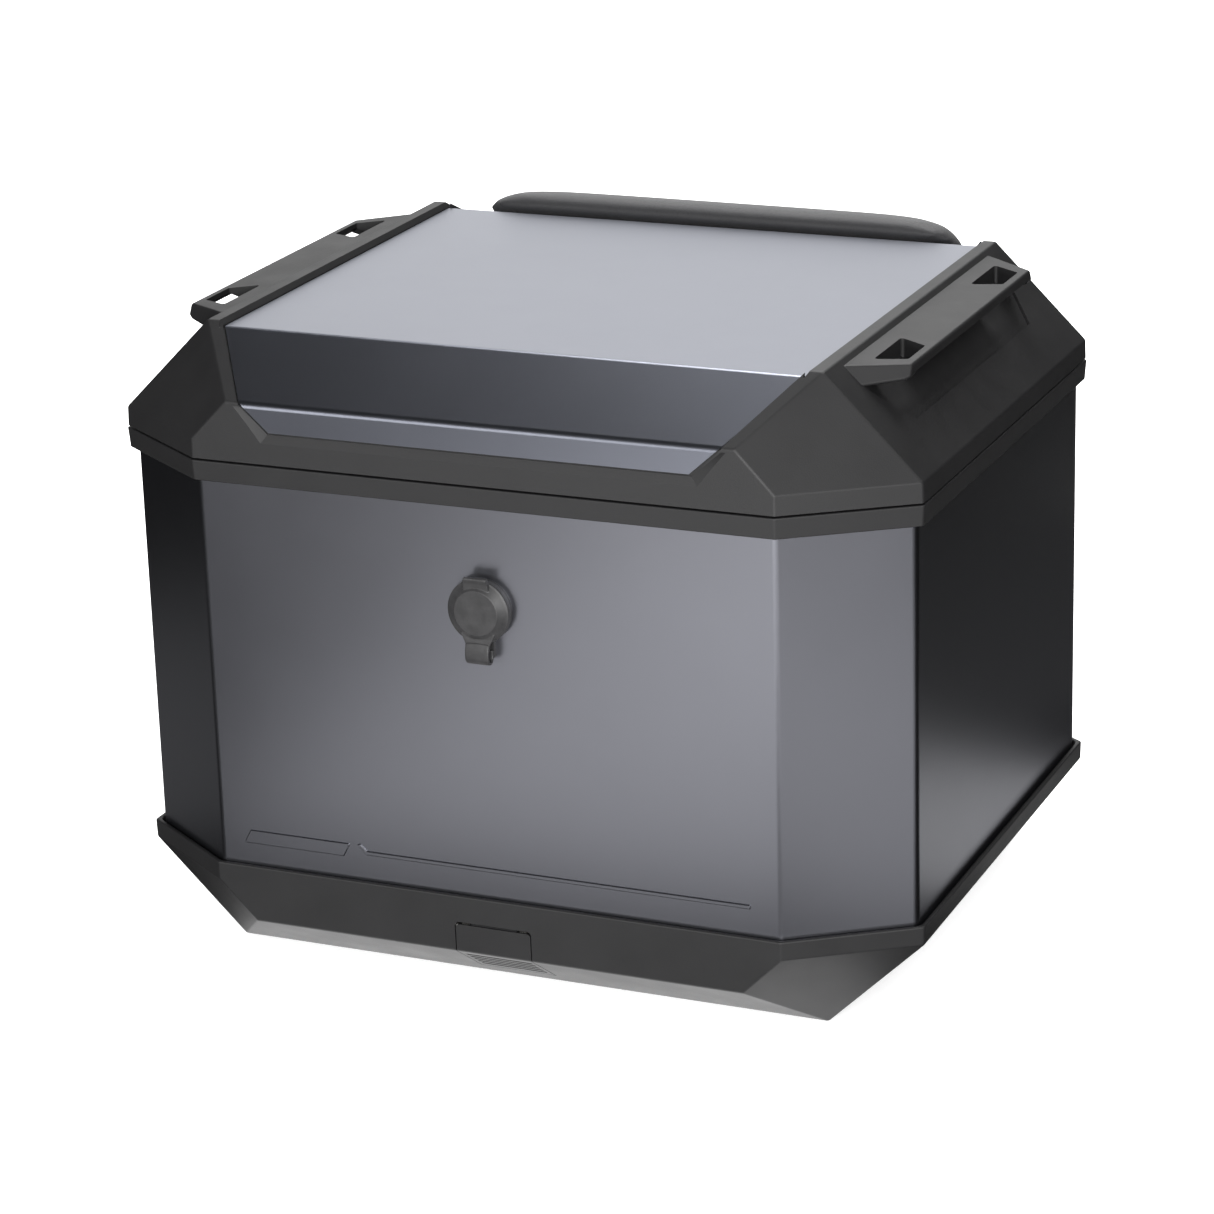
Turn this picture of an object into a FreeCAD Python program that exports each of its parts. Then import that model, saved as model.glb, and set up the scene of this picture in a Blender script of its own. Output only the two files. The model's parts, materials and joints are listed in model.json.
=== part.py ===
import FreeCAD, Part
import math
import os

# Motorcycle top case: folded aluminium wall, moulded tray and lid, lock and quick release.
# Millimetres. Origin at the centre of the underside; +X right and +Z up as seen from the
# lock side, which faces -Y. The rider and the hinges are on the +Y side.

Vector = FreeCAD.Vector

# Plan outline: a rectangle with its four corners cut off.
HALF_W = 214.2
HALF_D = 174.7
CHAMFER_X = 59.7
CHAMFER_Y = 41.2
FLARE = 0.4          # moulded bands flare by this much either side of the plan outline
FLARE_HEIGHT = 30.3
RIM_FLARE = 0.8

# Heights.
TRAY_FLAT_Z = 0.0
TRAY_FOLD_Z = 28.5
TRAY_BAND_Z = 48.9
TRAY_TOP_Z = 58.7
RIM_BOTTOM_Z = 264.5
RIM_TOP_Z = 275.2
LID_BOTTOM_Z = 276.2
LID_BAND_Z = 286.1
LID_FOLD_Z = 306.5
LID_FLAT_Z = 336.0
LID_FLAT_X = 164.4
LID_FLAT_Y = 133.3
TRAY_FLAT_X = 164.0
TRAY_FLAT_Y = 133.5

# Skins.
SKIN = 3.5
LID_SKIN = 4.0
LID_END_SKIN = 6.5
LID_TOP_SKIN = 7.0
FLOOR = 3.0
EDGE_R = 2.2
SHEET = 1.5
WALL_INSET = 3.7
WALL_BEND_R = 5.0
WALL_BOTTOM_Z = 53.0
WALL_TOP_Z = 270.7
GROOVE_INSET = 2.2
RIM_INNER = 11.0
TONGUE_OUTER = 6.5
TONGUE_INNER = 9.5
TONGUE_TOP_Z = 280.7
GASKET_TOP_Z = 285.2
GASKET_BOTTOM_Z = 281.0

# Lid panel: an aluminium sheet folded over the lid from front to back.
PANEL_FACE = 174.2
PANEL_BOTTOM_Z = 292.5
PANEL_FOLD_Z = 306.3
PANEL_TOP_Z = 333.0
PANEL_TOP_Y = 132.5
PANEL_TOP_X = 155.0
PANEL_FOLD_X = 127.0
PANEL_END_X = 111.5
PANEL_GAP = 1.1
PANEL_BORDER = 5.5

# Tie-down rails.
RAIL_ROOT_Y = 112.5
RAIL_TIP_X = 195.5
RAIL_TIP_Y = 94.0

# Hinges.
HINGE_Y = 181.0
HINGE_Z = 276.0
HINGE_X = 105.0
KNUCKLE_R = 5.0
HINGE_PIN_R = 2.0
LEAF_HALF_W = 7.6
RUN_FIT = 0.05

# Lock.
LOCK_Z = 212.5
LOCK_BODY_R = 11.0
PLUG_R = 7.45
CAM_TIP = 50.0
WALL_FACE_Y = -(HALF_D - WALL_INSET)
CAP_R = 16.5
STRAP_Y = -176.8
STRAP_Z = 190.0
STRAP_HALF_W = 6.4

# Underside plate: it sits in a stepped rebate in the tray's floor.
PLATE_HALF_W = 104.0
PLATE_FRONT_Y = -131.0
PLATE_BACK_Y = 122.0
PLATE_R = 14.0
PLATE_GAP = 0.15
REBATE_W = 7.0
REBATE_Z = 1.5
PLATE_SCREWS = [(x, y) for x in (-60, 60) for y in (PLATE_FRONT_Y + 3.8, PLATE_BACK_Y - 3.8)]
PLATE_SCREWS += [(x, y) for x in (3.8 - PLATE_HALF_W, PLATE_HALF_W - 3.8) for y in (-70, 0, 70)]

# Quick release.
HOUSING_TOP_Z = 47.9
WINDOW_TOP_Z = 44.4
PADDLE_GAP = 0.6
PADDLE_HALF_W = 20.5
PADDLE_TOP_Z = 43.0
PADDLE_END_Y = -146.0
PIVOT_Y = -171.0
PIVOT_Z = 41.0
PADDLE_PIN_R = 1.5

REACH = 700.0


# ---------------------------------------------------------------- shape helpers

def box(x0, x1, y0, y1, z0, z1):
    return Part.makeBox(x1 - x0, y1 - y0, z1 - z0, Vector(x0, y0, z0))


def rod(radius, start, end):
    start = Vector(*start)
    along = Vector(*end) - start
    return Part.makeCylinder(radius, along.Length, start, along)


def union(shapes):
    whole = shapes[0]
    for shape in shapes[1:]:
        whole = whole.fuse(shape)
    return whole.removeSplitter()


def mirrored(shape):
    return shape.mirror(Vector(0, 0, 0), Vector(1, 0, 0))


def outline_face(points, place, radius=0.0):
    """Flat face with straight sides and rounded corners; place maps (u, v) to space."""
    radii = radius if isinstance(radius, list) else [radius] * len(points)
    corners = []
    for index, point in enumerate(points):
        here = Vector(point[0], point[1], 0)
        before = Vector(*points[index - 1], 0) - here
        after = Vector(*points[(index + 1) % len(points)], 0) - here
        before.normalize()
        after.normalize()
        if radii[index] <= 0:
            corners.append((here, None, here))
            continue
        half_angle = before.getAngle(after) / 2
        run = radii[index] / math.tan(half_angle)
        inward = (before + after).normalize()
        middle = here + inward * (radii[index] / math.sin(half_angle) - radii[index])
        corners.append((here + before * run, middle, here + after * run))
    edges = []
    for index, (start, middle, end) in enumerate(corners):
        last_end = corners[index - 1][2]
        if (start - last_end).Length > 1e-6:
            edges.append(Part.LineSegment(place(last_end), place(start)).toShape())
        if middle is not None:
            edges.append(Part.Arc(place(start), place(middle), place(end)).toShape())
    return Part.Face(Part.Wire(edges))


def plate_z(points, z0, z1, radius=0.0):
    """Plan outline raised from z0 to z1."""
    face = outline_face(points, lambda p: Vector(p.x, p.y, z0), radius)
    return face.extrude(Vector(0, 0, z1 - z0))


def plate_x(points, x0, x1, radius=0.0):
    """Outline in (y, z) carried from x0 to x1."""
    face = outline_face(points, lambda p: Vector(x0, p.x, p.y), radius)
    return face.extrude(Vector(x1 - x0, 0, 0))


def plate_y(points, y0, y1, radius=0.0):
    """Outline in (x, z) carried from y0 to y1."""
    face = outline_face(points, lambda p: Vector(p.x, y0, p.y), radius)
    return face.extrude(Vector(0, y1 - y0, 0))


def octagon(inset):
    """Corners of the plan outline, moved inwards by inset."""
    length = math.hypot(CHAMFER_X, CHAMFER_Y)
    normal_x = CHAMFER_Y / length
    normal_y = CHAMFER_X / length
    reach = normal_x * (HALF_W - CHAMFER_X) + normal_y * HALF_D - inset
    half_w = HALF_W - inset
    half_d = HALF_D - inset
    front_x = (reach - normal_y * half_d) / normal_x
    side_y = (reach - normal_x * half_w) / normal_y
    right = [(front_x, -half_d), (half_w, -side_y), (half_w, side_y), (front_x, half_d)]
    return right + [(-x, y) for x, y in reversed(right)]


def ring(outer, inner, z0, z1, radius=0.0):
    """Band that follows the plan outline between two insets."""
    outside = plate_z(octagon(outer), z0, z1, radius)
    inside = plate_z(octagon(inner), z0 - 1, z1 + 1, max(radius - inner + outer, 0))
    return outside.cut(inside)


def keep_inside(shape, planes):
    """Cut away what lies beyond each (normal, point) plane."""
    for normal, point in planes:
        block = Part.makeBox(2 * REACH, 2 * REACH, REACH, Vector(-REACH, -REACH, 0))
        turn = FreeCAD.Rotation(Vector(0, 0, 1), normal)
        block.Placement = FreeCAD.Placement(point, turn)
        shape = shape.cut(block)
    return shape


def moved_in(normal, point, inset):
    unit = Vector(normal)
    unit.normalize()
    return unit, point - unit * inset


def outline_planes(z, lean, inset):
    """The eight upright sides, on the plan outline at height z and leaning with height."""
    front_x = HALF_W - CHAMFER_X
    planes = []
    for sx in (1, -1):
        planes.append(moved_in(Vector(sx, 0, lean), Vector(sx * HALF_W, 0, z), inset))
        for sy in (1, -1):
            across = Vector(sx * CHAMFER_Y, sy * CHAMFER_X, 0)
            across.normalize()
            corner = Vector(sx * front_x, sy * HALF_D, z)
            planes.append(moved_in(across + Vector(0, 0, lean), corner, inset))
    for sy in (1, -1):
        planes.append(moved_in(Vector(0, sy, lean), Vector(0, sy * HALF_D, z), inset))
    return planes


def facet_planes(band_z, grow, fold_z, flat_z, flat_x, flat_y, side, end, flat):
    """Slopes, corner facets and flat of the lid or tray, each moved in by its skin."""
    up = 1 if flat_z > band_z else -1
    side_corner, front_corner = [Vector(x, y, band_z) for x, y in octagon(-grow)[2:4]]
    top_corner = Vector(flat_x, flat_y, flat_z)
    facet = (side_corner - front_corner).cross(top_corner - front_corner)
    if facet.x < 0:
        facet = facet * -1
    side_rise = abs(flat_z - band_z)
    side_run = side_corner.x - flat_x
    end_rise = abs(flat_z - fold_z)
    planes = [moved_in(Vector(0, 0, up), Vector(0, 0, flat_z), flat)]
    for sx in (1, -1):
        slope = Vector(sx * side_rise, 0, up * side_run)
        planes.append(moved_in(slope, Vector(sx * side_corner.x, 0, band_z), side))
        for sy in (1, -1):
            normal = Vector(sx * facet.x, sy * facet.y, facet.z)
            corner = Vector(sx * front_corner.x, sy * front_corner.y, band_z)
            planes.append(moved_in(normal, corner, side))
    for sy in (1, -1):
        slope = Vector(0, sy * end_rise, up * (HALF_D - flat_y))
        planes.append(moved_in(slope, Vector(0, sy * HALF_D, fold_z), end))
    return planes


def lid_form(bottom_z, wall, side, end, flat):
    lean = 2 * FLARE / FLARE_HEIGHT
    middle_z = (LID_BOTTOM_Z + LID_FOLD_Z) / 2
    grow = lean * (middle_z - LID_BAND_Z)
    sides = outline_planes(middle_z, lean, wall)
    facets = facet_planes(LID_BAND_Z, grow, LID_FOLD_Z, LID_FLAT_Z, LID_FLAT_X, LID_FLAT_Y, side, end, flat)
    blank = box(-HALF_W - 9, HALF_W + 9, -HALF_D - 9, HALF_D + 9, bottom_z, LID_FLAT_Z + 9)
    return keep_inside(blank, sides + facets)


def tray_form(top_z, wall, slope, flat):
    lean = -2 * FLARE / FLARE_HEIGHT
    middle_z = (TRAY_TOP_Z + TRAY_FOLD_Z) / 2
    grow = lean * (middle_z - TRAY_BAND_Z)
    flat_size = (TRAY_FLAT_Z, TRAY_FLAT_X, TRAY_FLAT_Y)
    sides = outline_planes(middle_z, lean, wall)
    facets = facet_planes(TRAY_BAND_Z, grow, TRAY_FOLD_Z, *flat_size, slope, slope, flat)
    blank = box(-HALF_W - 9, HALF_W + 9, -HALF_D - 9, HALF_D + 9, TRAY_FLAT_Z - 9, top_z)
    return keep_inside(blank, sides + facets)


def level(edge, z):
    return all(abs(vertex.Z - z) < 0.01 for vertex in edge.Vertexes)


def rounded_except(shape, radius, z):
    """Round every edge but those that lie flat at height z."""
    return shape.makeFillet(radius, [edge for edge in shape.Edges if not level(edge, z)])


def rounded_along(shape, radius, axis):
    """Round the straight edges that run along axis."""
    chosen = []
    for edge in shape.Edges:
        if len(edge.Vertexes) == 2 and isinstance(edge.Curve, Part.Line):
            if abs(edge.Curve.Direction.dot(axis)) > 0.9999:
                chosen.append(edge)
    return shape.makeFillet(radius, chosen)


def fastener(head, direction, head_r, head_h, shank_r, shank_l, recess=True):
    """Domed head outside the point head, and its shank running the other way."""
    point = Vector(*head)
    along = Vector(*direction)
    along.normalize()
    dome = Part.makeCylinder(head_r, head_h, point, along)
    rim = [edge for edge in dome.Edges if (edge.CenterOfMass - point - along * head_h).Length < 0.01]
    dome = dome.makeFillet(head_h * 0.6, rim)
    shank = Part.makeCylinder(shank_r, shank_l, point - along * shank_l, along)
    piece = dome.fuse(shank)
    if recess:
        slot = Part.makeBox(head_r, head_r * 0.28, head_h, Vector(-head_r / 2, -head_r * 0.14, 0))
        cross = slot.fuse(slot.rotated(Vector(0, 0, 0), Vector(0, 0, 1), 90))
        turn = FreeCAD.Rotation(Vector(0, 0, 1), along)
        cross.Placement = FreeCAD.Placement(point + along * head_h * 0.45, turn)
        piece = piece.cut(cross)
    return piece


def offset_line(points, distance):
    """Open run of straight lines in (y, z), moved to its left by distance."""
    normals = []
    for start, end in zip(points, points[1:]):
        length = math.hypot(end[0] - start[0], end[1] - start[1])
        normals.append(((start[1] - end[1]) / length, (end[0] - start[0]) / length))
    moved = [(points[0][0] + normals[0][0] * distance, points[0][1] + normals[0][1] * distance)]
    for index in range(1, len(points) - 1):
        before, after = normals[index - 1], normals[index]
        scale = distance / (1 + before[0] * after[0] + before[1] * after[1])
        shift = ((before[0] + after[0]) * scale, (before[1] + after[1]) * scale)
        moved.append((points[index][0] + shift[0], points[index][1] + shift[1]))
    last = points[-1]
    moved.append((last[0] + normals[-1][0] * distance, last[1] + normals[-1][1] * distance))
    return moved


# ---------------------------------------------------------------- case body

def case_wall():
    """Sheet folded to the plan outline, with the lock hole and the embossed line."""
    wall = ring(WALL_INSET, WALL_INSET + SHEET, WALL_BOTTOM_Z, WALL_TOP_Z, WALL_BEND_R)
    proud = WALL_FACE_Y - 0.8
    line = [(138, 72.3), (138, 74.7), (-70.0, 74.7), (-73.6, 78.0), (-76.6, 78.0), (-70.6, 72.3)]
    badge = [(-83.5, 70.0), (-79.5, 77.5), (-136.5, 77.5), (-140.5, 70.0)]
    for points in (line, badge):
        bead = plate_y(points, WALL_FACE_Y + 0.3, proud, 0.8)
        rim = [edge for edge in bead.Edges if all(abs(v.Y - proud) < 0.01 for v in edge.Vertexes)]
        wall = wall.fuse(bead.makeChamfer(0.5, rim))
    hole = rod(LOCK_BODY_R + 0.05, (0, WALL_FACE_Y - 5, LOCK_Z), (0, WALL_FACE_Y + 5, LOCK_Z))
    return wall.cut(hole).removeSplitter()


def wall_seam_strip():
    inner = -WALL_FACE_Y - SHEET
    strip = box(-16, 16, inner - SHEET, inner, 66, 260)
    return rounded_along(strip, 3, Vector(0, 1, 0))


def wall_rivets():
    """Two rows of blind rivets that close the sheet on the seam strip."""
    rivets = []
    for x in (-10, 10):
        for row in range(6):
            head = (x, -WALL_FACE_Y - 2 * SHEET, 80 + row * 33)
            rivets.append(fastener(head, (0, -1, 0), 3, 1.4, 1.6, 2 * SHEET - 0.2, False))
    return Part.makeCompound(rivets)


def tray_cavity():
    lower = tray_form(HOUSING_TOP_Z, SKIN, SKIN, FLOOR)
    upper = plate_z(octagon(8), 47, TRAY_TOP_Z + 9)
    return lower.fuse(upper)


def bottom_tray():
    """Moulded tray with the sheet groove, the release window and the rebate for its plate."""
    tray = rounded_except(tray_form(TRAY_TOP_Z, 0, 0, 0), EDGE_R, TRAY_TOP_Z)
    groove_r = WALL_BEND_R + WALL_INSET - GROOVE_INSET
    tray = tray.cut(ring(GROOVE_INSET, WALL_INSET + SHEET, WALL_BOTTOM_Z, TRAY_TOP_Z + 1, groove_r))
    lip = [edge for edge in tray.Edges if level(edge, TRAY_TOP_Z) and near_outline(edge, GROOVE_INSET)]
    tray = tray.makeFillet(0.9, lip)
    flange = ring(WALL_INSET + SHEET, 8, TRAY_TOP_Z - 6, TRAY_TOP_Z + 3, WALL_BEND_R)
    tray = tray.fuse(flange).cut(tray_cavity())
    half = PADDLE_HALF_W + PADDLE_GAP
    window = box(-half, half, -HALF_D - 9, PADDLE_END_Y + PADDLE_GAP, -5, WINDOW_TOP_Z)
    tops = [e for e in window.Edges if level(e, WINDOW_TOP_Z) and abs(abs(e.CenterOfMass.x) - half) < 0.1]
    tray = tray.cut(window.makeFillet(2.4, tops))
    for side in (1, -1):
        x0, x1 = sorted((side * half, side * 26.0))
        tray = tray.fuse(box(x0, x1, -172.0, -166.0, 35.5, 44.6))
        tray = tray.cut(rod(PADDLE_PIN_R, (side * 20, PIVOT_Y, PIVOT_Z), (side * 25, PIVOT_Y, PIVOT_Z)))
    return tray.cut(plate_blank(PLATE_GAP)).removeSplitter()


def plate_blank(gap):
    """Stepped plate that fills the rebate in the tray's floor, grown by gap."""
    def layer(inset, z0, z1):
        grow = gap - inset
        x, y0, y1 = PLATE_HALF_W + grow, PLATE_FRONT_Y - grow, PLATE_BACK_Y + grow
        return rounded_along(box(-x, x, y0, y1, z0, z1), PLATE_R + grow, Vector(0, 0, 1))
    return layer(0, -gap, REBATE_Z + gap).fuse(layer(REBATE_W, 0, FLOOR + gap))


def mount_plate():
    """Underside plate with the mouths for the carrier's hooks and latch post."""
    plate = plate_blank(0).cut(rounded_along(box(-17, 17, -112, -90, -1, 9), 2, Vector(0, 0, 1)))
    for side in (1, -1):
        x0, x1 = sorted((side * 45, side * 85))
        plate = plate.cut(box(x0, x1, 93, 107, -1, 9))
        for column in range(3):
            x = side * (20 + column * 27)
            relief = rounded_along(box(x - 9, x + 9, -66, 70, -1, 0.8), 4, Vector(0, 0, 1))
            plate = plate.cut(relief)
    for screw in plate_screw_list():
        plate = plate.cut(screw)
    return plate.removeSplitter()


def plate_screw_list():
    """Countersunk screws along the plate's flange."""
    screws = []
    for x, y in PLATE_SCREWS:
        head = Part.makeCone(3.0, 1.5, 1.3, Vector(x, y, 0.2))
        screws.append(head.fuse(rod(1.5, (x, y, 1.5), (x, y, FLOOR))).removeSplitter())
    return screws


def mount_plate_screws():
    screws = []
    for (x, y), screw in zip(PLATE_SCREWS, plate_screw_list()):
        slot = Part.makeBox(3.4, 0.8, 0.9, Vector(x - 1.7, y - 0.4, 0))
        slot = slot.fuse(slot.rotated(Vector(x, y, 0), Vector(0, 0, 1), 90))
        screws.append(screw.cut(slot))
    return Part.makeCompound(screws)


def hook_cup(side):
    """Cup over a mouth in the plate, for a hook of the carrier."""
    cup = rounded_along(box(42.5, 87.5, 90.5, 109.5, FLOOR, 16.5), 2, Vector(0, 0, 1))
    cup = cup.cut(box(45, 85, 93, 107, 0, 14))
    return cup if side > 0 else mirrored(cup)


def bolt_guide():
    return box(-18, 18, -129, -116, FLOOR, 31).cut(box(-14.3, 14.3, -130, -115, 19.7, 28.3))


def near_outline(edge, inset):
    """True if the edge lies outside the plan outline moved in by inset."""
    middle = edge.valueAt((edge.FirstParameter + edge.LastParameter) / 2)
    x, y = abs(middle.x), abs(middle.y)
    length = math.hypot(CHAMFER_X, CHAMFER_Y)
    corner = CHAMFER_Y * (HALF_W - CHAMFER_X) + CHAMFER_X * HALF_D
    cut = (corner - CHAMFER_Y * x - CHAMFER_X * y) / length
    return min(HALF_W - x, HALF_D - y, cut) < inset + 0.2


def ring_points(inset, front_xs, side_ys):
    """Points along the front, back and sides of the outline, with their inward directions."""
    half_w = HALF_W - inset
    half_d = HALF_D - inset
    found = []
    for x in front_xs:
        found.append(((x, -half_d), (0, 1, 0)))
        found.append(((x, half_d), (0, -1, 0)))
    for y in side_ys:
        found.append(((half_w, y), (-1, 0, 0)))
        found.append(((-half_w, y), (1, 0, 0)))
    return found


def tray_rivets():
    rivets = []
    for (x, y), inward in ring_points(8, (-125, -60, 60, 125), (-95, 0, 95)):
        rivets.append(fastener((x, y, 57.5), inward, 3, 1.4, 1.6, 3.8, False))
    return Part.makeCompound(rivets)


def upper_rim():
    """Moulded rim that caps the sheet and carries the sealing tongue."""
    lean = -RIM_FLARE / (RIM_TOP_Z - RIM_BOTTOM_Z)
    blank = box(-HALF_W - 9, HALF_W + 9, -HALF_D - 9, HALF_D + 9, RIM_BOTTOM_Z, RIM_TOP_Z)
    rim = keep_inside(blank, outline_planes(RIM_BOTTOM_Z, lean, 0))
    corners = [e for e in rim.Edges if not level(e, RIM_TOP_Z) and not level(e, RIM_BOTTOM_Z)]
    rim = rim.makeFillet(EDGE_R, corners)
    rim = rim.makeFillet(0.6, [e for e in rim.Edges if level(e, RIM_TOP_Z) or level(e, RIM_BOTTOM_Z)])
    rim = rim.cut(plate_z(octagon(RIM_INNER), RIM_BOTTOM_Z - 1, RIM_TOP_Z + 1))
    rim = rim.cut(ring(WALL_INSET, WALL_INSET + SHEET, RIM_BOTTOM_Z - 1, WALL_TOP_Z, WALL_BEND_R))
    tongue = ring(TONGUE_OUTER, TONGUE_INNER, RIM_TOP_Z - 1, TONGUE_TOP_Z)
    return rim.fuse(tongue).removeSplitter()


def rim_rivets():
    rivets = []
    for (x, y), inward in ring_points(RIM_INNER, (-125, -60, 60, 125), (-95, 0, 95)):
        rivets.append(fastener((x, y, 268.0), inward, 3, 1.4, 1.6, 6.8, False))
    return Part.makeCompound(rivets)


def floor_mat():
    mat = rounded_along(box(-148, 148, -122, 122, FLOOR, FLOOR + 2), 10, Vector(0, 0, 1))
    mat = mat.cut(box(-47, 47, -130, -84, 0, 10))
    for side in (1, -1):
        x0, x1 = sorted((side * 41.5, side * 88.5))
        mat = mat.cut(box(x0, x1, 89.5, 110.5, 0, 10))
    return mat


# ---------------------------------------------------------------- hinges

def hinge_bracket(x):
    """Fixed half: plate on the wall and rim with two outer knuckles."""
    on_wall = -WALL_FACE_Y + 0.02
    top = RIM_BOTTOM_Z - 0.2
    section = [(on_wall, 238), (178.2, 238), (178.2, 269.5), (175.7, 269.5), (175.7, top), (on_wall, top)]
    outline = [(x - 22, 238), (x + 22, 238), (x + 22, 269.5), (x - 22, 269.5)]
    bracket = plate_x(section, x - 22, x + 22).common(plate_y(outline, 170, 180, 3.0))
    for side in (1, -1):
        x0, x1 = sorted((x + side * 8, x + side * 20))
        web = plate_x([(175.7, 266), (178.2, 266), (185.2, 273), (181, 276), (176.3, 276)], x0, x1)
        bracket = bracket.fuse(web).fuse(rod(KNUCKLE_R, (x0, HINGE_Y, HINGE_Z), (x1, HINGE_Y, HINGE_Z)))
    heel_room = box(x - 8.2, x + 8.2, 170, 180, 267.6, 271)
    bore = rod(HINGE_PIN_R, (x - 30, HINGE_Y, HINGE_Z), (x + 30, HINGE_Y, HINGE_Z))
    return bracket.cut(heel_room).cut(bore).removeSplitter()


def hinge_leaf(x):
    """Moving half: plate on the lid, centre knuckle and the heel that stops it when open."""
    x0, x1 = x - LEAF_HALF_W, x + LEAF_HALF_W
    plate = rounded_along(box(x - 20, x + 20, 175.45, 178.0, 281.5, 292), 3, Vector(0, 1, 0))
    web = plate_x([(175.45, 284), (176.2, 278), (181, 276), (181, 280.9), (178.0, 284)], x0, x1)
    heel = plate_x([(181, 276), (182.5, 271.8), (187.3, 270.9), (188.4, 273.0), (185.5, 276)], x0, x1)
    knuckle = rod(KNUCKLE_R, (x0, HINGE_Y, HINGE_Z), (x1, HINGE_Y, HINGE_Z))
    bore = rod(HINGE_PIN_R + RUN_FIT, (x - 30, HINGE_Y, HINGE_Z), (x + 30, HINGE_Y, HINGE_Z))
    return union([plate, web, heel, knuckle]).cut(bore)


def hinge_pin(x):
    pin = rod(HINGE_PIN_R, (x - 21, HINGE_Y, HINGE_Z), (x + 21, HINGE_Y, HINGE_Z))
    head = rod(3.4, (x - 22.4, HINGE_Y, HINGE_Z), (x - 20, HINGE_Y, HINGE_Z))
    return pin.fuse(head).removeSplitter()


def hinge_case_screws():
    screws = []
    for x in (-HINGE_X, HINGE_X):
        for dx in (-14, 14):
            screws.append(fastener((x + dx, 178.2, 250), (0, 1, 0), 4, 2.2, 2, 12))
    return Part.makeCompound(screws)


def hinge_lid_screws():
    screws = []
    for x in (-HINGE_X, HINGE_X):
        for dx in (-13.5, 13.5):
            screws.append(fastener((x + dx, 178.0, 286.8), (0, 1, 0), 3.6, 1.8, 1.6, 10))
    return Part.makeCompound(screws)


# ---------------------------------------------------------------- lock

def lock_base_ring():
    """Rubber ring round the lock barrel with the tail that carries the cap's strap."""
    disc = rod(15.8, (0, -173.5, LOCK_Z), (0, WALL_FACE_Y, LOCK_Z))
    tail = box(-STRAP_HALF_W, STRAP_HALF_W, -173.5, WALL_FACE_Y, 187.6, LOCK_Z - 8)
    tail = rounded_along(tail, 1.5, Vector(0, 1, 0))
    bore = rod(LOCK_BODY_R, (0, -175, LOCK_Z), (0, -170, LOCK_Z))
    return disc.fuse(tail).cut(bore).removeSplitter()


def lock_body():
    """Die-cast barrel clamped through the wall between its flange and a nut."""
    barrel = rod(LOCK_BODY_R, (0, -174.6, LOCK_Z), (0, -151, LOCK_Z))
    flange = rod(13.5, (0, -174.6, LOCK_Z), (0, -173.5, LOCK_Z))
    bore = rod(PLUG_R + RUN_FIT, (0, -180, LOCK_Z), (0, -150, LOCK_Z))
    return barrel.fuse(flange).cut(bore).removeSplitter()


def lock_nut():
    """Hexagonal nut, 30 mm across its flats, behind the front wall."""
    reach = 30.0 / math.sqrt(3)
    inner = WALL_FACE_Y + SHEET
    points = []
    for corner in range(6):
        angle = math.radians(60 * corner)
        points.append((reach * math.cos(angle), LOCK_Z + reach * math.sin(angle)))
    return plate_y(points, inner, inner + 6).cut(rod(LOCK_BODY_R, (0, -180, LOCK_Z), (0, -150, LOCK_Z)))


def lock_plug():
    """Turning plug with the key slot, square tail and screw hole."""
    plug = rod(PLUG_R, (0, -174.9, LOCK_Z), (0, -150.8, LOCK_Z))
    plug = plug.fuse(box(-3, 3, -151, -147.4, LOCK_Z - 3, LOCK_Z + 3))
    keyway = box(-0.9, 0.9, -176, -160, LOCK_Z - 4.2, LOCK_Z + 4.2)
    hole = rod(1.6, (0, -156, LOCK_Z), (0, -147, LOCK_Z))
    return plug.cut(keyway).cut(hole).removeSplitter()


def lock_cam():
    """Cam arm with a bent tip, shown released and pointing sideways."""
    points = [(-9, -9), (9, -9), (26, -7), (CAM_TIP, -7), (CAM_TIP, 7), (26, 7), (9, 9), (-9, 9)]
    face = outline_face(points, lambda p: Vector(p.x, -150.6, LOCK_Z + p.y), 2.5)
    cam = face.extrude(Vector(0, 3.0, 0))
    tip = box(CAM_TIP - 3, CAM_TIP, -158.6, -149, LOCK_Z - 7, LOCK_Z + 7)
    cam = cam.fuse(rounded_along(tip, 1.2, Vector(1, 0, 0)))
    return cam.cut(box(-3, 3, -152, -146, LOCK_Z - 3, LOCK_Z + 3)).removeSplitter()


def cam_screw():
    return fastener((0, -147.4, LOCK_Z), (0, 1, 0), 5, 2.6, 1.6, 8)


def dust_cap():
    """Rubber cap over the lock face, with a thumb tab above and a strap root below."""
    steps = [
        (0, -180.0), (11.6, -180.0), (12.3, -179.5), (14.6, -179.2), (16.2, -177.6),
        (CAP_R, -173.7), (14.4, -173.7), (14.4, -175.3), (0, -175.3),
    ]
    edges = [Vector(r, y, 0) for r, y in steps]
    face = Part.Face(Part.makePolygon(edges + [edges[0]]))
    body = face.revolve(Vector(0, 0, 0), Vector(0, 1, 0), 360)
    body.Placement = FreeCAD.Placement(Vector(0, 0, LOCK_Z), FreeCAD.Rotation())
    tab = plate_x([(-179.0, 224), (-177.0, 224), (-177.6, 230.4), (-179.4, 230.8)], -6.4, 6.4)
    tab = rounded_along(tab, 0.7, Vector(1, 0, 0))
    root = box(-STRAP_HALF_W, STRAP_HALF_W, -180.0, -178.4, 193, 200.5)
    return union([body, tab, root])


def dust_cap_strap():
    """Loop of rubber strap between the cap and the tail of the base ring."""
    outer = rod(3.2, (-STRAP_HALF_W, STRAP_Y, STRAP_Z), (STRAP_HALF_W, STRAP_Y, STRAP_Z))
    outer = outer.fuse(box(-STRAP_HALF_W, STRAP_HALF_W, -180.0, -173.6, STRAP_Z, 192.9))
    inner = rod(1.6, (-9, STRAP_Y, STRAP_Z), (9, STRAP_Y, STRAP_Z))
    inner = inner.fuse(box(-9, 9, STRAP_Y - 1.6, STRAP_Y + 1.6, STRAP_Z, 200))
    return outer.cut(inner).removeSplitter()


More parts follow.
